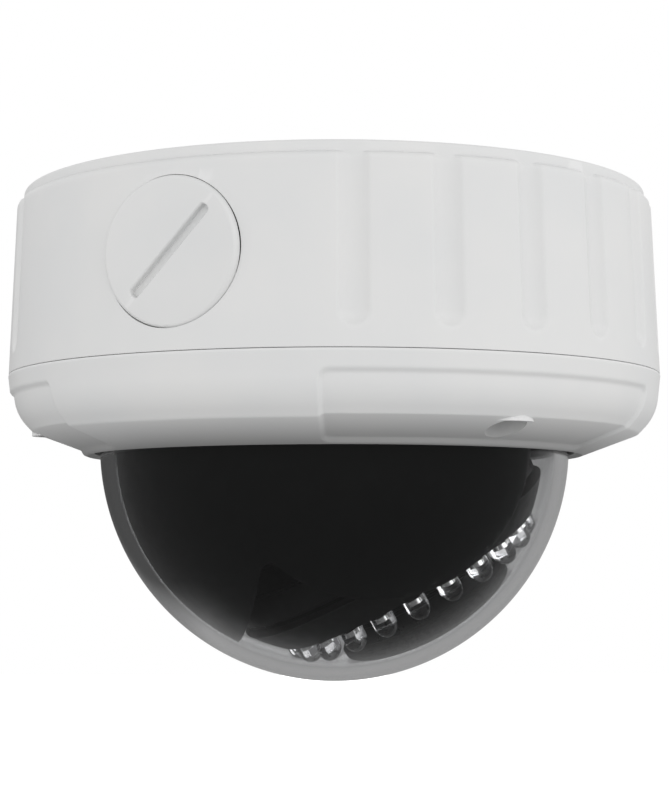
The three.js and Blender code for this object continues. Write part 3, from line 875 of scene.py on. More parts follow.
# ---------------------------------------------------------------- housing
@dataclass
class Housing:
    """The die-cast ceiling housing with its flutes, and the grommet of the cable hole."""

    depth: float = 40.5
    seam_radius: float = 72.4
    top_radius: float = 70.85
    lip_radius: float = 69.4
    lip_depth: float = 2.3
    top_fillet: float = 1.5
    lip_fillet: float = 0.6
    inner_top: float = 66.6
    inner_seam: float = 68.3
    ceiling: float = 3.2
    cable_hole: float = 10.0
    flute_pitch: float = 15.0
    first_flute: float = 3.0
    flutes: int = 20
    flute_half_width: float = 3.1
    flute_depth: float = 1.4
    flute_clearance: float = 4.2
    screw_circle: float = 61.8
    plug_recess: tuple[float, float] = (15.12, 68.6)
    plug_bore: float = 13.5
    plug_boss: float = 16.4
    cover_screw_hole: float = 2.4
    mount_circle: float = 57.0
    first_mount: float = 57.0

    def azimuths(self) -> np.ndarray:
        """Columns of the wall, close together where the flutes are."""
        half = math.degrees((self.flute_half_width + 0.5) / self.seam_radius)
        fine = np.linspace(-half, half, 17)
        coarse = np.linspace(half, self.flute_pitch - half, 8)[1:-1]
        pitch = np.concatenate([fine, coarse])
        columns = [pitch + self.first_flute + self.flute_pitch * k for k in range(int(360 / self.flute_pitch))]
        return np.radians(np.concatenate(columns))

    def outline(self) -> list[tuple[float, float]]:
        """Section of the shell, with close rows where the flutes end."""
        low, top = SEAM_Z + SEAM_GAP / 2, -self.lip_depth
        heights = np.concatenate([np.linspace(low + 0.5, low + 13, 30), np.linspace(low + 16, top - 2.2, 8)])
        share = (heights - low) / (top - low)
        wall = [(self.seam_radius + (self.top_radius - self.seam_radius) * s, z) for s, z in zip(share, heights)]
        corners: list[Sequence[float]] = [(self.inner_seam, low), (self.seam_radius, low, 0.15)]
        corners += wall
        corners += [
            (self.top_radius, top, self.top_fillet), (self.lip_radius, top), (self.lip_radius, 0, self.lip_fillet),
            (self.cable_hole, 0, 0.4), (self.cable_hole, -self.ceiling, 0.4), (self.inner_top, -self.ceiling, 1.2),
        ]
        inside = [(self.inner_top + (self.inner_seam - self.inner_top) * s, -self.ceiling - 37 * s)
                  for s in (0.25, 0.5, 0.75)]
        return rounded(corners + inside, 6)

    def shell(self) -> Object:
        """Make the fluted wall, its bosses and its holes.

        Returns:
            The housing's solid.
        """
        end = SEAM_Z + self.flute_clearance + self.flute_half_width
        cutter = (self.flute_half_width ** 2 + self.flute_depth ** 2) / (2 * self.flute_depth)
        body = FLUTED_WALL.run(
            revolve(self.outline(), azimuths=self.azimuths()), Pitch=math.radians(self.flute_pitch),
            First=math.radians(self.first_flute), Last_Index=float(self.flutes - 1), Cutter_Radius=cutter,
            Depth=self.flute_depth, End_Height=end, Floor_Radius=self.lip_radius + 0.01, Softness=0.55,
            Finish=POWDER_COAT.make(),
        )
        boss = moved(pin(self.plug_boss, 63.5, 69.5, segments=96), PLUG)
        body = combine(body, [boss], Join.ADD)
        recess, floor = self.plug_recess
        bore = revolve([(0, 50), (self.plug_bore, 50), (self.plug_bore, floor), (recess, floor), (recess, 80), (0, 80)])
        body = combine(body, [moved(bore, PLUG)])
        body = combine(body, self.posts(), Join.ADD)
        holes = []
        for azimuth in SCREW_AZIMUTHS:
            spot = polar(self.screw_circle, azimuth)
            holes.append(pin(self.cover_screw_hole, SEAM_Z - 1, SEAM_Z + 12, *spot, 32))
        for quarter in range(4):
            spot = polar(self.mount_circle, math.radians(self.first_mount + 90 * quarter))
            sunk = revolve([(0, -6), (4.4, -6), (4.4, -3.6), (2.75, -2.2), (2.75, 1), (0, 1)], 40)
            holes.append(moved(sunk, shift(*spot)))
        return combine(body, holes)

    def posts(self) -> list[Object]:
        """Make the screw posts with the webs that tie them to the wall."""
        posts = []
        for azimuth in SCREW_AZIMUTHS:
            x, y = polar(self.screw_circle, azimuth)
            post = pin(4, SEAM_Z + GAP, -2.4, x, y)
            web = moved(block((-1.5, 1.5), (-68.2, -self.screw_circle), (SEAM_Z + 4.5, -2.5)), spin(azimuth))
            posts.append(combine(post, [web], Join.ADD))
        return posts

    def build(self) -> None:
        """Build and dress the housing."""
        settle(self.shell(), "base_housing_shell", "housing", POWDER_COAT, nodes=["base_housing"])
        grommet = revolve(rounded([
            (6, -5.2, 0.5), (12, -5.2, 0.6), (12, -3.5, 0.3), (9.7, -3.5), (9.7, -0.5, 0.4), (6, -0.5, 0.5),
        ], 5), 72)
        settle(grommet, "cable_grommet_ring", "housing", RUBBER, nodes=["cable_grommet"])


@dataclass
class ConduitPlug:
    """The slotted plug of the side entry, with a true thread, and its seal."""

    radius: float = 15.0
    face: float = 71.8
    thickness: float = 1.8
    neck: float = 13.15
    neck_length: float = 11.0
    pitch: float = 1.814
    slot: tuple[float, float] = (23.5, 2.1)
    slot_depth: float = 1.6

    def body(self) -> Object:
        """Turn the plug, with its thread drawn as a helix round the neck."""
        end, shoulder = self.face - self.neck_length, self.face - self.thickness
        neck = [(self.neck, z) for z in np.arange(end + 0.4, shoulder - 0.3, self.pitch / 6)]
        outline = [(8, end), (self.neck - 0.4, end)] + neck + [(self.neck, shoulder)]
        outline += rounded([
            (self.radius, shoulder, 0.3), (self.radius, self.face, 0.85), (0, self.face), (0, shoulder),
        ], 6)[:-2]
        outline += [(self.radius * 0.5, self.face), (0, self.face), (0, self.face - 3.6), (8, self.face - 3.6)]

        def thread(r: np.ndarray, z: np.ndarray, around: np.ndarray) -> tuple[np.ndarray, np.ndarray]:
            """Cut the thread's groove between the neck's ends."""
            wave = np.abs(((z / self.pitch + around / TURN) % 1.0) * 2 - 1)
            fade = np.clip(np.minimum(z - end - 0.6, shoulder - 1.3 - z) / 0.8, 0, 1)
            return np.where(np.isclose(r, self.neck), r - 0.75 * wave * fade, r), z

        return revolve(outline, 144, reshape=thread)

    def slot_tool(self) -> Object:
        """Make the tool that cuts the screwdriver slot, with a chamfered mouth."""
        length, width = self.slot
        flat = oblong(length, width, width / 2 - 0.25, 6)
        wide = oblong(length + 0.5, width + 0.5, width / 2, 6)
        loops = [
            raised(flat, self.face - self.slot_depth), raised(flat, self.face - 0.25), raised(wide, self.face + 0.02),
            raised(wide, self.face + 1),
        ]
        return moved(loft(loops), spin(math.pi / 4))

    def build(self) -> None:
        """Build and dress the plug and its seal."""
        plug = combine(self.body(), [self.slot_tool()])
        settle(plug, "conduit_plug_body", "conduit_plug", POWDER_COAT, PLUG, ["conduit_plug"])
        back = self.face - self.thickness - GAP
        seal = tube(self.neck + GAP, self.radius, back - 0.8, back, 0.3)
        settle(seal, "conduit_seal_ring", "conduit_seal", RUBBER, PLUG, ["conduit_plug_seal"])


# ---------------------------------------------------------------- cover
@dataclass
class Cover:
    """The screwed cover: ring with three recessed pads, dome, gaskets, clamp ring and screws."""

    seam_radius: float = 72.5
    shoulder: tuple[float, float] = (71.5, 8.8)
    edge: tuple[float, float] = (67.6, 12.9)
    rim: tuple[float, float] = (55.2, 17.5)
    shoulder_fillet: float = 10.5
    edge_fillet: float = 1.3
    opening: float = 53.4
    ledge: float = 15.5
    pocket: float = 56.4
    pad_centre: float = 31.9
    pad_half_angle: float = 34.6
    pad_depth: float = 0.8
    pad_top: float = 3.6
    pad_rim: float = 55.8
    pad_step: float = 1.25
    pad_corner: float = 2.4
    screw_circle: float = 61.8
    screw_hole: float = 4.2
    clamp_circle: float = 58.2
    clamp_hole: float = 1.7
    dome_radius: float = 52.3
    dome_wall: float = 3.0
    flange: float = 56.1

    def skin(self) -> list[tuple[float, float]]:
        """Outside of the ring from the seam to the rim, in even steps."""
        corners = rounded([
            (self.seam_radius, below_seam(SEAM_GAP / 2), 0.15), (*self._at(self.shoulder), self.shoulder_fillet),
            (*self._at(self.edge), self.edge_fillet), self._at(self.rim),
            (self.opening, below_seam(self.rim[1] - 0.4)), (self.seam_radius - 1.1, below_seam(SEAM_GAP / 2)),
        ], 14)
        stop = next(i for i, p in enumerate(corners) if abs(p[0] - self.rim[0]) < 1e-6)
        line = np.array(corners[:stop + 1])
        lengths = np.concatenate([[0], np.cumsum(np.hypot(*np.diff(line, axis=0).T))])
        even = np.linspace(0, lengths[-1], int(lengths[-1] / 0.36))
        return list(zip(np.interp(even, lengths, line[:, 0]), np.interp(even, lengths, line[:, 1])))

    @staticmethod
    def _at(corner: tuple[float, float]) -> tuple[float, float]:
        """A radius and a drop below the seam as r and z."""
        return corner[0], below_seam(corner[1])

    def azimuths(self) -> np.ndarray:
        """Columns of the ring, close together at the pads' edges and round the screws."""
        columns = list(np.arange(0, 360, 1.0))
        for k, screw in enumerate(SCREW_AZIMUTHS):
            middle = self.pad_centre + 120 * k
            for edge in (middle - self.pad_half_angle, middle + self.pad_half_angle):
                columns += list(np.arange(edge - 1.3, edge + 1.3, 0.2))
            columns += list(np.arange(math.degrees(screw) - 5, math.degrees(screw) + 5, 0.3))
        found = np.unique(np.round(np.array(columns) % 360, 2))
        return np.radians(found[np.concatenate([[True], np.diff(found) > 0.12])])

    def press_pads(self, rows: int) -> Reshape:
        """Say how the pads are pressed into the first rows of the section.

        Args:
            rows: how many rows belong to the outside.

        Returns:
            The function that changes r and z.
        """

        def press(r: np.ndarray, z: np.ndarray, around: np.ndarray) -> tuple[np.ndarray, np.ndarray]:
            """Move the outside inwards along its normal where a pad lies."""
            line = np.stack([r[:rows, 0], z[:rows, 0]], -1)
            along = np.concatenate([[0], np.cumsum(np.hypot(*np.diff(line, axis=0).T))])
            slope = np.gradient(line, axis=0)
            inward = np.stack([slope[:, 1], -slope[:, 0]], -1)
            inward /= np.hypot(*inward.T)[:, None]
            top = np.interp(self.pad_top, below_seam(0) - line[:, 1], along)
            bottom = np.interp(-self.pad_rim, -line[:, 0], along)
            third = np.radians(self.pad_centre)
            nearest = (around - third + math.pi / 3) % (TURN / 3) - math.pi / 3
            aside = (np.abs(nearest) - math.radians(self.pad_half_angle)) * r[:rows]
            updown = np.maximum(top - along, along - bottom)[:, None] + 0 * aside
            soft = self.pad_corner
            x, y = aside + soft, updown + soft
            away = np.hypot(np.maximum(x, 0), np.maximum(y, 0)) + np.minimum(np.maximum(x, y), 0) - soft
            share = np.clip(-away / self.pad_step, 0, 1)
            depth = self.pad_depth * share * share * (3 - 2 * share)
            r, z = r.copy(), z.copy()
            r[:rows] += inward[:, :1] * depth
            z[:rows] += inward[:, 1:] * depth
            return r, z

        return press

    def ring(self) -> Object:
        """Make the cover ring.

        Returns:
            The ring's solid, with its screw wells, posts and notches.
        """
        skin, at, top = self.skin(), below_seam, below_seam(SEAM_GAP / 2)
        inside = rounded([
            (self.opening, at(self.rim[1] - 0.1), 0.3), (self.opening - 0.2, at(self.ledge)),
            (self.pocket, at(self.ledge)), (self.pocket, at(12.6)), (61.2, at(12.6)), (64, at(11.4)),
            (66.3, at(9.8)), (66.3, at(-3), 0.4), (67.9, at(-3), 0.4), (67.9, top), (69, top), (69, top - 1.3),
            (71.4, top - 1.3), (71.4, top),
        ], 4)
        body = revolve(skin + inside, azimuths=self.azimuths(), reshape=self.press_pads(len(skin)))
        spots = [polar(self.screw_circle, a) for a in SCREW_AZIMUTHS]
        clamps = [polar(self.clamp_circle, a) for a in CLAMP_AZIMUTHS]
        body = combine(body, [pin(6.8, at(1.5), at(-4), x, y) for x, y in spots])
        body = combine(body, [pin(5.6, at(13), at(0.8), x, y) for x, y in spots], Join.ADD)
        wells = [
            moved(revolve([
                (0, at(25)), (self.screw_hole, at(25)), (self.screw_hole, at(7)), (2.4, at(7)), (2.4, at(-2)),
                (0, at(-2)),
            ], 72), shift(x, y)) for x, y in spots
        ]
        return combine(body, wells + [pin(self.clamp_hole, at(14.3), at(10), x, y, 24) for x, y in clamps])

    def dome(self) -> Object:
        """Make the dome with its flange."""
        inner = self.dome_radius - self.dome_wall
        outline = arc(self.dome_radius, 0, 90, 64) + rounded([
            (self.dome_radius, 0.8, 0.3), (self.flange, 0.8, 0.2), (self.flange, 2.4, 0.2), (inner, 2.4, 0.2),
            (inner, 0),
        ], 3)[:-1] + arc(inner, 90, 0, 64)
        return revolve(outline, 160)

    def clamp(self) -> Object:
        """Make the pressed ring that holds the dome."""
        body = tube(50.5, 60.5, 2.7, 4.7, 0.4, 160)
        tools = [pin(6.2, 2, 6, *polar(self.screw_circle, a)) for a in SCREW_AZIMUTHS]
        tools += [pin(self.clamp_hole, 2, 6, *polar(self.clamp_circle, a), 24) for a in CLAMP_AZIMUTHS]
        return combine(body, tools)

    def build(self) -> None:
        """Build and dress the cover."""
        at = below_seam
        # The ring's paint carries painted shade on its underside near the dome.
        settle(self.ring(), "cover_ring_shell", "cover", COVER_COAT_PAINTED_SHADE, nodes=["cover_ring"])
        seam = tube(69.3, 71.1, at(GAP / 2 + 1), at(GAP / 2), 0.3, 160)
        settle(seam, "seam_gasket_ring", "cover", RUBBER, nodes=["seam_gasket"])
        settle(self.dome(), "dome_shell", "cover", CLEAR_DOME, DOME, ["dome_bubble"], 50)
        seat = tube(53.6, self.flange, -0.2, 0.5, 0.25, 160)
        settle(seat, "dome_gasket_ring", "cover", RUBBER, DOME, ["dome_gasket"])
        settle(self.clamp(), "dome_clamp_plate", "cover", STEEL, DOME, ["dome_clamp_ring"])
        for k in range(3):
            spot = shift(*polar(self.screw_circle, SCREW_AZIMUTHS[k]))
            screw = Screw(3.5, at(10.3), at(7.3), 2.0, at(-6), Drive.TORX_PIN).build()
            settle(screw, f"cover_screw_{k + 1}_body", f"cover_screw_{k + 1}", STEEL, spot,
                   [f"cover_screw_{k + 1}"])
            spot = DOME @ shift(*polar(self.clamp_circle, CLAMP_AZIMUTHS[k])) @ shift(z=7.7) @ OVER
            screw = Screw(2.6, 1.1, 2.7, 1.3, 6.6, pitch=0.5).build()
            settle(screw, f"clamp_screw_{k + 1}_body", "cover", STEEL, spot, [f"clamp_ring_screw_{k + 1}"])


# ---------------------------------------------------------------- electronics in the housing
def scatter(face: Callable[[], Object], kinds: Sequence[Sequence[Any]], spacing: float, seed: int,
            board: str, body: str, place: Matrix) -> None:
    """Scatter small components over one face of a circuit board.

    Args:
        face: makes the area that they may stand on.
        kinds: each kind's name, finish, smallest size, largest size and slot.
        spacing: the smallest distance between two components.
        seed: the seed of what is random.
        board: the board's name, with which the pieces' names start.
        body: the CAD body of the board.
        place: where the face lies.
    """
    for kind, (name, finish, small, large, slot) in enumerate(kinds):
        area = face()
        part = block((-0.5, 0.5), (-0.5, 0.5), (0, 1), 0.08, 0.06)
        made = BOARD_PARTS.run(
            area, Part=part, Spacing=spacing, Kind=kind, Kinds=len(kinds), Seed=seed, Small=small, Large=large,
            Finish=finish.make(),
        )
        bpy.data.objects.remove(part)
        settle(made, f"{board}_{name}", body, finish, place)


@dataclass
class PowerStage:
    """The power board on its standoffs, with its terminal block, video socket and service jack."""

    radius: float = 39.0
    low: float = -13.6
    high: float = -12.0
    circle: float = 35.5
    seed: int = 11

    def board(self) -> Object:
        """Make the round board with its screw holes."""
        body = revolve(rounded([
            (0, self.low), (self.radius, self.low, 0.1), (self.radius, self.high, 0.1), (0, self.high),
        ]), 120)
        return combine(body, [pin(1.7, self.low - 1, self.high + 1, *spot, 24) for spot in self.spots()])

    def spots(self) -> list[tuple[float, float]]:
        """Places of the three standoffs."""
        return [polar(self.circle, math.radians(93.5 + 120 * k)) for k in range(3)]

    def terminal_block(self) -> Object:
        """Make the terminal block with its screw wells and wire mouths."""
        body = block((14, 28), (-6, 6), (self.high + GAP, -4.5), 0.4)
        wells = [pin(1.5, self.high - 1, self.high + 3.2, x, y, 24) for x in (17.5, 24.5) for y in (-3, 3)]
        mouths = [block((13, 16.2), (y - 1.2, y + 1.2), (-9.4, -6.4)) for y in (-3, 3)]
        return combine(combine(body, mouths), wells)

    def video_socket(self) -> Object:
        """Make the shielded video socket with its round mouth and centre pin."""
        body = block((-29, -15), (-7, 7), (self.high + GAP, -4.5), 1.0, 0.4)
        mouth = moved(pin(2.3, 0, 9, segments=48), spin(-math.pi / 2, "Y"), shift(-21, 0, -8.1))
        slots = [block((-30, -13), (y - 0.4, y + 0.4), (-6.6, -4)) for y in (-4.5, 4.5)]
        core = moved(pin(0.6, 0, 7.4, segments=24), spin(-math.pi / 2, "Y"), shift(-21, 0, -8.1))
        return combine(combine(combine(body, [mouth]), slots), [core], Join.ADD)

    def jack(self) -> Object:
        """Make the service jack with its collar and hole, which face down."""
        body = block((-26, -18), (8, 16), (-17.4, self.low - GAP), 0.8, 0.3)
        collar = tube(2.0, 3.2, -18.4, -17.0, 0.25, 48)
        body = combine(body, [moved(collar, shift(-22, 12))], Join.ADD)
        return combine(body, [pin(1.8, -19, -14.6, -22, 12)])

    def components(self) -> None:
        """Scatter the small parts over the underside of the board."""
        kinds = (
            ("chips", CHIP_BLACK, (3.2, 2.4, 1.2), (6.4, 4.2, 1.5), "circuit_board"),
            ("capacitors", CERAMIC, (1.6, 0.9, 0.8), (2.6, 1.5, 1.3), "circuit_board"),
            ("cans", STEEL, (2.4, 2.4, 1.6), (3.6, 3.4, 2.2), "steel"),
        )
        scatter(lambda: revolve([(0, 0), (32, 0), (32, 0.01), (0, 0.01)], 48), kinds, 5.4, self.seed,
                "power_board", "housing", shift(z=self.low) @ OVER)

    def build(self) -> None:
        """Build and dress the board and what it carries."""
        settle(self.board(), "power_board_plate", "housing", BOARD_GREEN, nodes=["power_board"])
        self.components()
        for k, spot in enumerate(self.spots()):
            post = revolve(rounded([
                (0, self.high + GAP), (3, self.high + GAP, 0.3), (3, -3.5, 0.3), (0, -3.5),
            ], 3), 6)
            settle(post, f"board_standoff_{k + 1}_post", "housing", BRASS, shift(*spot),
                   [f"board_standoff_{k + 1}"], 20)
            screw = Screw(2.8, self.low - 1.9, self.low - GAP, 1.3, self.high, pitch=0.5).build()
            settle(screw, f"board_screw_{k + 1}_body", "housing", STEEL, shift(*spot),
                   [f"board_screw_{k + 1}"])
        settle(self.terminal_block(), "terminal_block_body", "housing", GREY_PLASTIC,
               nodes=["power_terminal_block"])
        settle(self.video_socket(), "video_socket_body", "housing", STEEL, nodes=["video_socket"])
        settle(self.jack(), "service_jack_body", "housing", BLACK_PLASTIC,
               nodes=["service_video_jack"])


# ---------------------------------------------------------------- gimbal
@dataclass
class GimbalBase:
    """The ring that the turntable hooks over, and its three posts."""

    level: float = 32.3

    def build(self) -> None:
        """Build and dress the ring, with its degree marks, and the posts."""
        ring = revolve(rounded([
            (41.5, self.level, 0.2), (49.4, self.level, 0.4), (49.4, self.level + 2.5, 0.4),
            (41.5, self.level + 2.5, 0.2),
        ], 3), 120)
        marks = RING_ARRAY.around(block((48.6, 50), (-0.25, 0.25), (self.level - 1, self.level + 4), 0.1, 0.05), 72,
                                  BLACK_PLASTIC.make())
        settle(combine(ring, [marks]), "gimbal_ring", "housing", BLACK_PLASTIC, DOME,
               ["gimbal_base_ring"])
        high = -DOME_Z - 3.5
        for k, azimuth in enumerate(SCREW_AZIMUTHS):
            post = revolve(rounded([
                (0, self.level + 2.8), (2.6, self.level + 2.8, 0.3), (2.6, self.level + 5.3, 0.2),
                (2.2, self.level + 5.5), (2.2, self.level + 7.5), (2.6, self.level + 7.7, 0.2), (2.6, high, 0.3),
                (0, high),
            ], 3), 48)
            settle(post, f"gimbal_post_{k + 1}_body", "housing", BRASS, DOME @ shift(*polar(46.2, azimuth)),
                   [f"gimbal_post_{k + 1}"])


@dataclass
class PanStage:
    """What turns about the upright axis: turntable, yokes, lock screws and the black liner."""

    level: float = 29.5
    lock_reach: float = 41.3
    yoke_inner: float = 40.2
    yoke_outer: float = 43.0
    yoke_half: float = 8.0
    yoke_foot: float = -8.0
    liner_radius: float = 48.7
    liner_wall: float = 1.0
    liner_top: float = 29.2
    slot_half: float = 36.0
    slot_past_pole: float = 28.0
    slot_corner: float = 3.0

    def turntable(self) -> Object:
        """Make the turntable with its hook and knurled rim."""
        pan = self.level
        body = revolve(rounded([
            (38, pan, 0.2), (46.5, pan, 0.3), (46.5, pan + 2.5, 0.3), (40.7, pan + 2.5), (40.7, pan + 5.6),
            (42.4, pan + 5.6, 0.2), (42.4, pan + 6.8, 0.3), (38, pan + 6.8, 0.2),
        ], 3), 144)
        grooves = RING_ARRAY.around(
            block((46.2, 47.5), (-0.35, 0.35), (pan - 1, pan + 4), 0.1, 0.05), 120, BLACK_PLASTIC.make()
        )
        body = combine(body, [grooves])
        return combine(body, [pin(1.8, pan - 1, pan + 2.2, -self.lock_reach, 0, 24)])

    def yoke(self, side: float) -> Object:
        """Make a yoke arm with its foot and pivot hole.

        Args:
            side: 1 for the far arm and -1 for the near one.

        Returns:
            The arm.
        """
        half, top = self.yoke_half, self.level - GAP
        flat = oblong(2 * half, top - self.yoke_foot, 5.0, 6)
        small = oblong(2 * half - 0.8, top - self.yoke_foot - 0.8, 4.6, 6)
        depths = ((small, self.yoke_inner), (flat, self.yoke_inner + 0.4), (flat, self.yoke_outer - 0.4),
                  (small, self.yoke_outer))
        middle = shift(z=(top + self.yoke_foot) / 2)
        arm = moved(loft([raised(f, d) for f, d in depths]), SIDEWAYS, middle)
        foot = block((-half, half), (38.3, self.yoke_inner + 0.1), (self.level - 2.6, top), 0.3, 0.15)
        hole = moved(pin(2.9, self.yoke_inner - 1, self.yoke_outer + 1), SIDEWAYS)
        slot = block((-3.2, 3.2), (self.yoke_inner + 1.9, self.yoke_outer + 1), (6, 22), 1.5, 0.3)
        body = combine(combine(arm, [foot], Join.ADD), [hole, slot])
        return moved(body, spin(0 if side > 0 else math.pi))

    def pivot(self, side: float) -> Object:
        """Make a tilt lock screw, on the near or far side."""
        start = self.yoke_outer + GAP
        head = knurled(3.9, start, start + 2.6, 20)
        shank = pin(2.4, 35.2, start + 0.1)
        slot = block((-3, 3), (-0.35, 0.35), (start + 1.7, start + 4), 0.1, 0.05)
        body = combine(combine(head, [shank], Join.ADD), [slot])
        return moved(body, SIDEWAYS, spin(0 if side > 0 else math.pi))

    def liner(self) -> Object:
        """Make the thin bowl with its wide slot, rolled at the rim."""
        inner = self.liner_radius - self.liner_wall
        outline = arc(self.liner_radius, 0, 90, 48) + rounded([
            (self.liner_radius, self.liner_top, 0.6), (44.2, self.liner_top, 0.3), (44.2, self.liner_top - 1.4),
            (inner, self.liner_top - 1.4, 0.4), (inner, 0),
        ], 4)[:-1] + arc(inner, 90, 0, 48)
        start = -self.liner_radius * math.sin(math.radians(self.slot_past_pole))
        slot = block((start, 60), (-self.slot_half, self.slot_half), (-60, self.liner_top - 4), self.slot_corner, 0.3)
        return softened(combine(revolve(outline, 160), [slot]), 0.22, 2, 50)

    def build(self) -> None:
        """Build and dress the pan stage."""
        settle(self.turntable(), "pan_turntable_ring", "pan", BLACK_PLASTIC, PAN, ["pan_turntable"])
        head = knurled(2.3, self.level - 3.6, self.level - GAP, 16, 0.3)
        lock = combine(head, [pin(1.4, self.level - GAP - 0.1, self.level + 2)], Join.ADD)
        lock = combine(lock, [block((-2, 2), (-0.25, 0.25), (self.level - 5, self.level - 3), 0.1, 0.05)])
        settle(lock, "pan_lock_knob", "pan_lock", BRASS, PAN @ shift(-self.lock_reach), ["pan_lock_screw"])
        for side, name in ((-1, "near"), (1, "far")):
            settle(self.yoke(side), f"yoke_{name}", "pan", BLACK_PLASTIC, PAN, [f"yoke_arm_{name}"])
            settle(self.pivot(side), f"tilt_lock_{name}_knob", f"tilt_lock_{name}", BRASS, PAN,
                   [f"tilt_lock_screw_{name}"])
        settle(self.liner(), "liner_bowl", "pan", LINER_BLACK, PAN, ["liner_shroud"])


@dataclass
class TiltStage:
    """The ring between the yokes that carries the lens module."""

    inner: float = 34.0
    outer: float = 37.2
    front: float = -25.0
    back: float = -19.0

    def build(self) -> None:
        """Build and dress the tilt frame with its two ears."""
        body = tube(self.inner, self.outer, self.front, self.back, 0.4, 120)
        for turn in (0, math.pi):
            flat = oblong(14, 29, 5.0, 6)
            small = oblong(13.2, 28.2, 4.6, 6)
            levels = ((small, 35.8), (flat, 36.2), (flat, 39.2), (small, 39.6))
            ear = moved(loft([raised(f, d) for f, d in levels]), SIDEWAYS, shift(z=-7.5))
            hole = moved(pin(2.8, 34, 42), SIDEWAYS)
            body = combine(body, [moved(ear, spin(turn))], Join.ADD)
            body = combine(body, [moved(hole, spin(turn))])
        settle(body, "tilt_frame_ring", "tilt", BLACK_PLASTIC, MODULE, ["tilt_frame"])


# ---------------------------------------------------------------- lens module
@dataclass
class LensModule:
    """The rolling lens module, from its camera board to the light shield. The lens looks along -Z."""

    plate: float = 32.8
    plate_radius: float = 33.0
    sphere: float = 46.5
    wall: float = 1.6
    back_angle: float = 55.0
    led_count: int = 24
    led_circle: float = 29.5
    led_radius: float = 2.5
    led_tip: float = 37.8
    first_led: float = -TURN / 4
    ring_outer: float = 17.2
    seed: int = 23

    def chassis(self) -> Object:
        """Make the chassis with its two windows and cooling ribs."""
        body = revolve(rounded([
            (27.5, 4, 0.3), (29.5, 4, 0.3), (29.5, -14, 0.6), (33.6, -14, 0.5), (33.6, -28.6, 0.4), (31.4, -28.6, 0.2),
            (31.4, -16), (27.5, -16), (27.5, -1.2), (23.5, -1.2), (23.5, 0.1), (27.5, 0.1),
        ], 4), 144)
        windows = [moved(block((20, 36), (-7, 7), (-26.5, -8), 0.3, 0.1), spin(turn)) for turn in (0, math.pi)]
        body = combine(body, windows)
        grooves = RING_ARRAY.around(block((29.0, 31), (-0.5, 0.5), (-12, 2), 0.2, 0.1), 36, BLACK_PLASTIC.make())
        return combine(body, [grooves])

    def camera_board(self) -> Object:
        """Make the square camera board with its corner holes."""
        board = block((-19, 19), (-19, 19), (0.4, 2), 1.2, 0.1)
        return combine(board, [pin(1.1, -1, 3, x, y, 24) for x in (-16.5, 16.5) for y in (-16.5, 16.5)])

    def connector(self) -> Object:
        """Make the ribbon connector with its row of contacts."""
        body = block((-8, 8), (9, 14), (2.3, 6.5), 0.3, 0.15)
        mouth = block((-7, 7), (10.4, 12.4), (4.2, 8), 0.2, 0.1)
        latches = [block((x - 0.5, x + 0.5), (8, 15), (4.8, 5.6), 0.1, 0.05) for x in (-7.4, 7.4)]
        return combine(combine(body, [mouth]), latches)

    def sensor(self) -> Object:
        """Make the image sensor's package with its framed window."""
        body = block((-4.5, 4.5), (-4.5, 4.5), (-1.1, 0.1), 0.3, 0.1)
        return combine(body, [block((-3.6, 3.6), (-3.2, 3.2), (-2, -0.85), 0.2, 0.05)])

    def lens_mount(self) -> Object:
        """Make the lens mount with its sensor well and the filter's slideway."""
        body = block((-11.5, 11.5), (-11.5, 11.5), (-7.6, 0.1), 1.2, 0.3)
        body = combine(body, [block((-6.5, 6.5), (-6.5, 6.5), (-2.4, 1), 0.3, 0.1)])
        body = combine(body, [block((-9.5, 20), (-5, 5), (-4.6, -3.2), 0.2, 0.1)])
        return combine(body, [pin(4.2, -9, 0)])

    def lens_ring(self, back: float, front: float, turn: float) -> Object:
        """Make a zoom or focus ring with grip ribs and a hole for its lock screw.

        Args:
            back, front: heights of the ring's ends.
            turn: turn of the ribs, in radians.

        Returns:
            The ring.
        """
        body = tube(14.2, self.ring_outer - 0.5, front, back, 0.35, 144)
        rib = block((16.2, self.ring_outer), (-0.55, 0.55), (front + 0.7, back - 0.7), 0.25, 0.2)
        ribs = RING_ARRAY.around(rib, 36, LENS_BLACK.make(), turn)
        body = combine(body, [ribs], Join.ADD)
        hole = moved(pin(1.6, 13, 19), spin(math.pi / 2, "Y"), shift(z=(front + back) / 2))
        return combine(body, [hole])

    def lock_screw(self, middle: float) -> Object:
        """Make a small knurled lock screw that stands out along +X."""
        body = combine(knurled(2.2, 18.6, 22.6, 14, 0.25), [pin(1.2, 14.5, 18.7, segments=24)], Join.ADD)
        return moved(body, spin(math.pi / 2, "Y"), shift(z=middle))

    def barrel(self) -> Object:
        """Make the barrel with its flange, steps and bayonet grooves."""
        return revolve(rounded([
            (11.4, -7.9, 0.2), (16.5, -7.9, 0.3), (16.5, -11, 0.3), (13.8, -11), (13.8, -18.6), (13.5, -18.8),
            (13.5, -19.2), (13.8, -19.4), (13.8, -26), (13.5, -26.2), (13.5, -27), (13.8, -27.2), (13.8, -29, 0.2),
            (11.4, -29, 0.2),
        ], 3), 128)

    def cell(self) -> Object:
        """Make the front lens cell with fine turned steps."""
        steps: list[Sequence[float]] = []
        for k in range(4):
            z = -33.9 - 0.75 * k
            steps += [(19.5, z + 0.12), (19.2, z), (19.2, z - 0.3), (19.5, z - 0.42)]
        return revolve(rounded([
            (14.1, -28.2), (17, -28.2, 0.3), (17, -33), (19.5, -33.5, 0.2), *steps, (19.5, -37, 0.2), (18.6, -37.3),
            (18.6, -41, 0.2), (14.6, -41, 0.2), (13.7, -40.5), (13.7, -40.2), (12.9, -40), (12.9, -39.8), (12, -39.6),
            (12, -32.6), (14.1, -32.6),
        ], 3), 144)

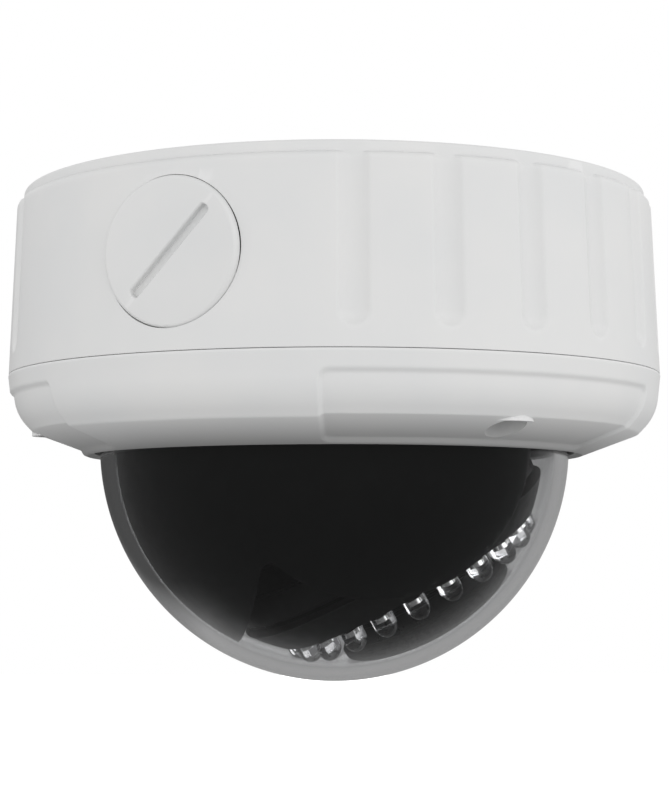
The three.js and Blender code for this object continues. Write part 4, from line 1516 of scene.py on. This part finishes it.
    def front_element(self) -> Object:
        """Make the front lens element with its curved faces."""
        face = [(11.6 * s, -40.7 + 2.7 * s * s) for s in np.linspace(0, 1, 20)]
        back = [(11.6 * s, -34.2 + 1.0 * s * s) for s in np.linspace(1, 0, 12)]
        return revolve(face + back, 96)

    def zoom_element(self) -> Object:
        """Make the zooming lens group as a thick lens with a ground rim."""
        face = [(11 * s, -17.5 + 0.9 * s * s) for s in np.linspace(0, 1, 16)]
        back = [(11 * s, -12.5 - 0.9 * s * s) for s in np.linspace(1, 0, 16)]
        return revolve(face + back, 96)

    def shield(self) -> Object:
        """Make the sponge ring that seals the lens against the dome."""
        reach = 48.6
        face = [(r, -math.sqrt(reach ** 2 - r ** 2)) for r in np.linspace(14.4, 20.5, 14)]
        return revolve(face + [(21, -43.6), (21, -41.8), (20.6, -41.3), (14.3, -41.3), (14, -41.7), (14, -46.3)], 144)

    def bezel(self) -> Object:
        """Make the eyeball bezel with a hole for each LED."""
        edge = math.degrees(math.asin(self.plate_radius / self.sphere))
        outline = arc(self.sphere, edge, self.back_angle, 16) + arc(self.sphere - self.wall, self.back_angle, 47.2, 10)
        outline += [(32.9, -31.2), (21.3, -31.2), (21.3, -self.plate + 0.2), (21.5, -self.plate)]
        body = revolve(outline, 192)
        hole = pin(self.led_radius + 0.25, -34, -30, self.led_circle, 0, 32)
        return combine(body, [RING_ARRAY.around(hole, self.led_count, BLACK_PLASTIC.make(), self.first_led)])

    def led_lens(self) -> Object:
        """Make one clear LED body with its flange and round tip."""
        radius, middle = self.led_radius, -self.led_tip + self.led_radius
        tip = [(radius * math.sin(a), middle - radius * math.cos(a)) for a in np.linspace(0, math.pi / 2, 12)]
        outline = tip + [(radius, -31.4), (radius - 0.2, -31.25), (0, -31.25)]
        return moved(revolve(outline, 28), shift(self.led_circle))

    def led_cup(self) -> Object:
        """Make one LED's reflector cup on its post, inside the clear body."""
        cup = revolve([
            (0.34, -33.9), (0.95, -34.5), (1.1, -34.45), (1.05, -33.5), (0.5, -33.1), (0.42, -31.6), (0, -31.6),
            (0, -33.9),
        ], 18)
        post = moved(block((-0.28, 0.28), (-0.3, 0.3), (-33.7, -31.6), 0.08, 0.08), shift(0, 1.35))
        flag = moved(block((-0.28, 0.28), (-0.45, 0.35), (-34.3, -33.6), 0.08, 0.08), shift(0, 1.3))
        return moved(together([cup, post, flag]), shift(self.led_circle))

    def build_camera(self) -> None:
        """Build and dress the camera board, sensor, mount and filter."""
        body = "lens_module"
        settle(self.camera_board(), "camera_board_plate", body, BOARD_GREEN, MODULE, ["camera_board"])
        kinds = (
            ("chips", CHIP_BLACK, (2.6, 2.2, 0.9), (5.2, 4.2, 1.1), "circuit_board"),
            ("capacitors", CERAMIC, (1.2, 0.7, 0.6), (1.8, 1, 0.9), "circuit_board"),
        )
        scatter(lambda: block((-15, 15), (-15, 7), (0, 0.1), 0.3, 0.02), kinds, 4.6, self.seed,
                "camera_board", body, MODULE @ shift(z=2))
        settle(self.connector(), "board_connector_body", body, GREY_PLASTIC, MODULE,
               ["board_connector"])
        settle(self.sensor(), "image_sensor_package", body, GREY_PLASTIC, MODULE, ["image_sensor"])
        settle(self.lens_mount(), "lens_mount_body", body, BLACK_PLASTIC, MODULE, ["lens_mount"])
        pane = block((-9, 10.5), (-4.6, 4.6), (-4.3, -3.5), 0.4, 0.1)
        settle(pane, "ir_cut_filter_pane", "ir_filter", FILTER_GLASS, MODULE, ["ir_cut_filter"])

    def build_lens(self) -> None:
        """Build and dress the lens from its barrel to the light shield."""
        settle(self.barrel(), "lens_barrel_tube", "lens_module", LENS_BLACK, MODULE, ["lens_barrel"])
        settle(self.zoom_element(), "zoom_group_glass", "zoom_group", LENS_GLASS, MODULE,
               ["zoom_lens_group"])
        for name, back, front in (("zoom", -12, -18), ("focus", -19.6, -25.4)):
            settle(self.lens_ring(back, front, TURN / 72), f"{name}_grip_ring", f"{name}_ring",
                   LENS_BLACK, MODULE, [f"{name}_ring"])
            settle(self.lock_screw((back + front) / 2), f"{name}_lock_knob", f"{name}_lock", STEEL,
                   MODULE, [f"{name}_lock_screw"])
        settle(self.cell(), "front_cell_ring", "front_lens", LENS_BLACK, MODULE, ["front_lens_cell"], 25)
        settle(self.front_element(), "front_lens_glass", "front_lens", LENS_GLASS, MODULE,
               ["front_lens_element"])
        settle(self.shield(), "light_shield_ring", "front_lens", FOAM, MODULE, ["light_shield"])

    def build_leds(self) -> None:
        """Build and dress the bezel, the LED board and the ring of LEDs."""
        body = "lens_module"
        settle(self.bezel(), "eyeball_bezel_shell", body, BLACK_PLASTIC, MODULE, ["eyeball_bezel"])
        board = tube(21.6, 31.2, -30.9, -29.3, 0.15, 120)
        settle(board, "led_board_ring", body, BOARD_BLACK, MODULE, ["led_board"])
        lenses = RING_ARRAY.around(self.led_lens(), self.led_count, LED_EPOXY.make(), self.first_led)
        settle(lenses, "led_clear_bodies", body, LED_EPOXY, MODULE, ["ir_led_ring"], 50)
        cups = RING_ARRAY.around(self.led_cup(), self.led_count, LEADFRAME.make(), self.first_led)
        settle(cups, "led_reflector_cups", body, LEADFRAME, MODULE, sharp=30)

    def build(self) -> None:
        """Build and dress the whole module."""
        settle(self.chassis(), "module_chassis_shell", "lens_module", BLACK_PLASTIC, MODULE,
               ["module_chassis"])
        self.build_camera()
        self.build_lens()
        self.build_leds()


# ---------------------------------------------------------------- studio
@dataclass
class Studio:
    """Pale floor, soft sky of light and the camera."""

    floor_height: float = -0.6
    camera_place: tuple[float, float, float] = (0.0, -0.4489, -0.0789)
    camera_rise: float = 4.286
    camera_roll: float = 0.064
    camera_lens: float = 89.9
    tent: float = 1.03
    lean: tuple[float, float, float] = (0.11, -0.14, 0.21)
    band: float = 0.95
    glass_above: float = 1.0
    glass_front: float = 0.075
    glass_back: float = 0.36
    side_glow: float = 0.9
    through_lamps: float = 2.2
    lamp_depth: float = 4.5
    floor_pale: float = 0.9

    def build_floor(self) -> None:
        """Lay the floor far under the camera, seen but without weight in the lighting."""
        flat = oblong(16000, 16000, 50)
        thing = loft([raised(flat, -1), raised(flat, 0)])
        thing.data.transform(Matrix.Scale(MM, 4) @ shift(z=self.floor_height / MM))
        thing.name = "studio_floor"
        pale = bpy.data.materials.new("pale_floor")
        pale.use_nodes = True
        shader = pale.node_tree.nodes["Principled BSDF"]
        shader.inputs["Base Color"].default_value = (self.floor_pale, self.floor_pale, self.floor_pale, 1)
        shader.inputs["Roughness"].default_value = 0.9
        shader.inputs["Emission Color"].default_value = (1, 1, 1, 1)
        shader.inputs["Emission Strength"].default_value = self.floor_pale
        thing.data.materials.append(pale)
        thing.visible_diffuse = thing.visible_glossy = thing.visible_transmission = False

    def build_sky(self) -> None:
        """Light the scene from a soft tent that is brightest near the horizon; glass sees a darker room."""
        world = bpy.data.worlds.new("soft_sky")
        bpy.context.scene.world = world
        world.use_nodes = True
        maker = TreeMaker(world.node_tree)
        m = maker.math
        way = maker.add("ShaderNodeTexCoord").outputs["Generated"]
        x, y, z = maker.add("ShaderNodeSeparateXYZ", Vector=way).outputs
        leaning = maker.add("ShaderNodeVectorMath", {"operation": "DOT_PRODUCT"}, _0=way, _1=self.lean).outputs["Value"]
        flat = m("MULTIPLY", m("MULTIPLY", z, z), self.band)
        under = m("MAXIMUM", m("MULTIPLY", z, -1.0), 0.0)
        glow = m("MULTIPLY", m("MULTIPLY", m("MULTIPLY", x, x), under), self.side_glow)
        tent = m("ADD", m("MAXIMUM", m("SUBTRACT", m("ADD", leaning, self.tent), flat), 0.0), glow)
        back = maker.add("ShaderNodeMapRange", Value=y, From_Min=0.3, From_Max=0.85,
                         To_Max=self.glass_back - self.glass_front).outputs[0]
        right = maker.add("ShaderNodeMapRange", Value=m("SUBTRACT", x, m("MULTIPLY", z, 0.8)), From_Min=-0.22,
                          From_Max=0.02).outputs[0]
        rise = maker.add("ShaderNodeMapRange", {"interpolation_type": "SMOOTHSTEP"}, Value=z, From_Min=0.02,
                         From_Max=0.35).outputs[0]
        low = m("ADD", self.glass_front, m("MULTIPLY", back, right))
        path = maker.add("ShaderNodeLightPath").outputs
        lens = m("GREATER_THAN", path["Transmission Depth"], self.lamp_depth)
        room = m("ADD", m("MULTIPLY", low, m("SUBTRACT", 1.0, rise)), m("MULTIPLY", rise, self.glass_above))
        room = m("MULTIPLY", room, m("ADD", 1.0, m("MULTIPLY", lens, self.through_lamps)))
        glass = m("MAXIMUM", path["Is Transmission Ray"], path["Is Glossy Ray"])
        seen = path["Is Camera Ray"]
        light = m("ADD", m("MULTIPLY", tent, m("SUBTRACT", 1.0, glass)), m("MULTIPLY", room, glass))
        strength = m("ADD", m("MULTIPLY", light, m("SUBTRACT", 1.0, seen)), seen)
        maker.tree.links.new(strength, world.node_tree.nodes["Background"].inputs["Strength"])
        world.node_tree.nodes["Background"].inputs["Color"].default_value = (1, 1, 1, 1)

    def build_camera(self) -> None:
        """Set up the camera in front of the dome and a little below the seam."""
        scene = bpy.context.scene
        data = bpy.data.cameras.new("camera")
        data.lens, data.sensor_width = self.camera_lens, 36.0
        data.clip_start = 0.01
        view = bpy.data.objects.new("camera", data)
        view.location = self.camera_place
        view.rotation_euler = (math.radians(90 + self.camera_rise), math.radians(self.camera_roll), 0)
        scene.collection.objects.link(view)
        scene.camera = view
        scene.view_settings.view_transform = "Standard"

    def build(self) -> None:
        """Build the whole studio."""
        self.build_floor()
        self.build_sky()
        self.build_camera()


def main() -> None:
    """Build every sub-assembly in order."""
    for part in (Housing(), ConduitPlug(), Cover(), PowerStage(), GimbalBase(), PanStage(), TiltStage(), LensModule(),
                 Studio()):
        log.info("building %s", type(part).__name__)
        part.build()


if __name__ == "__main__":
    main()
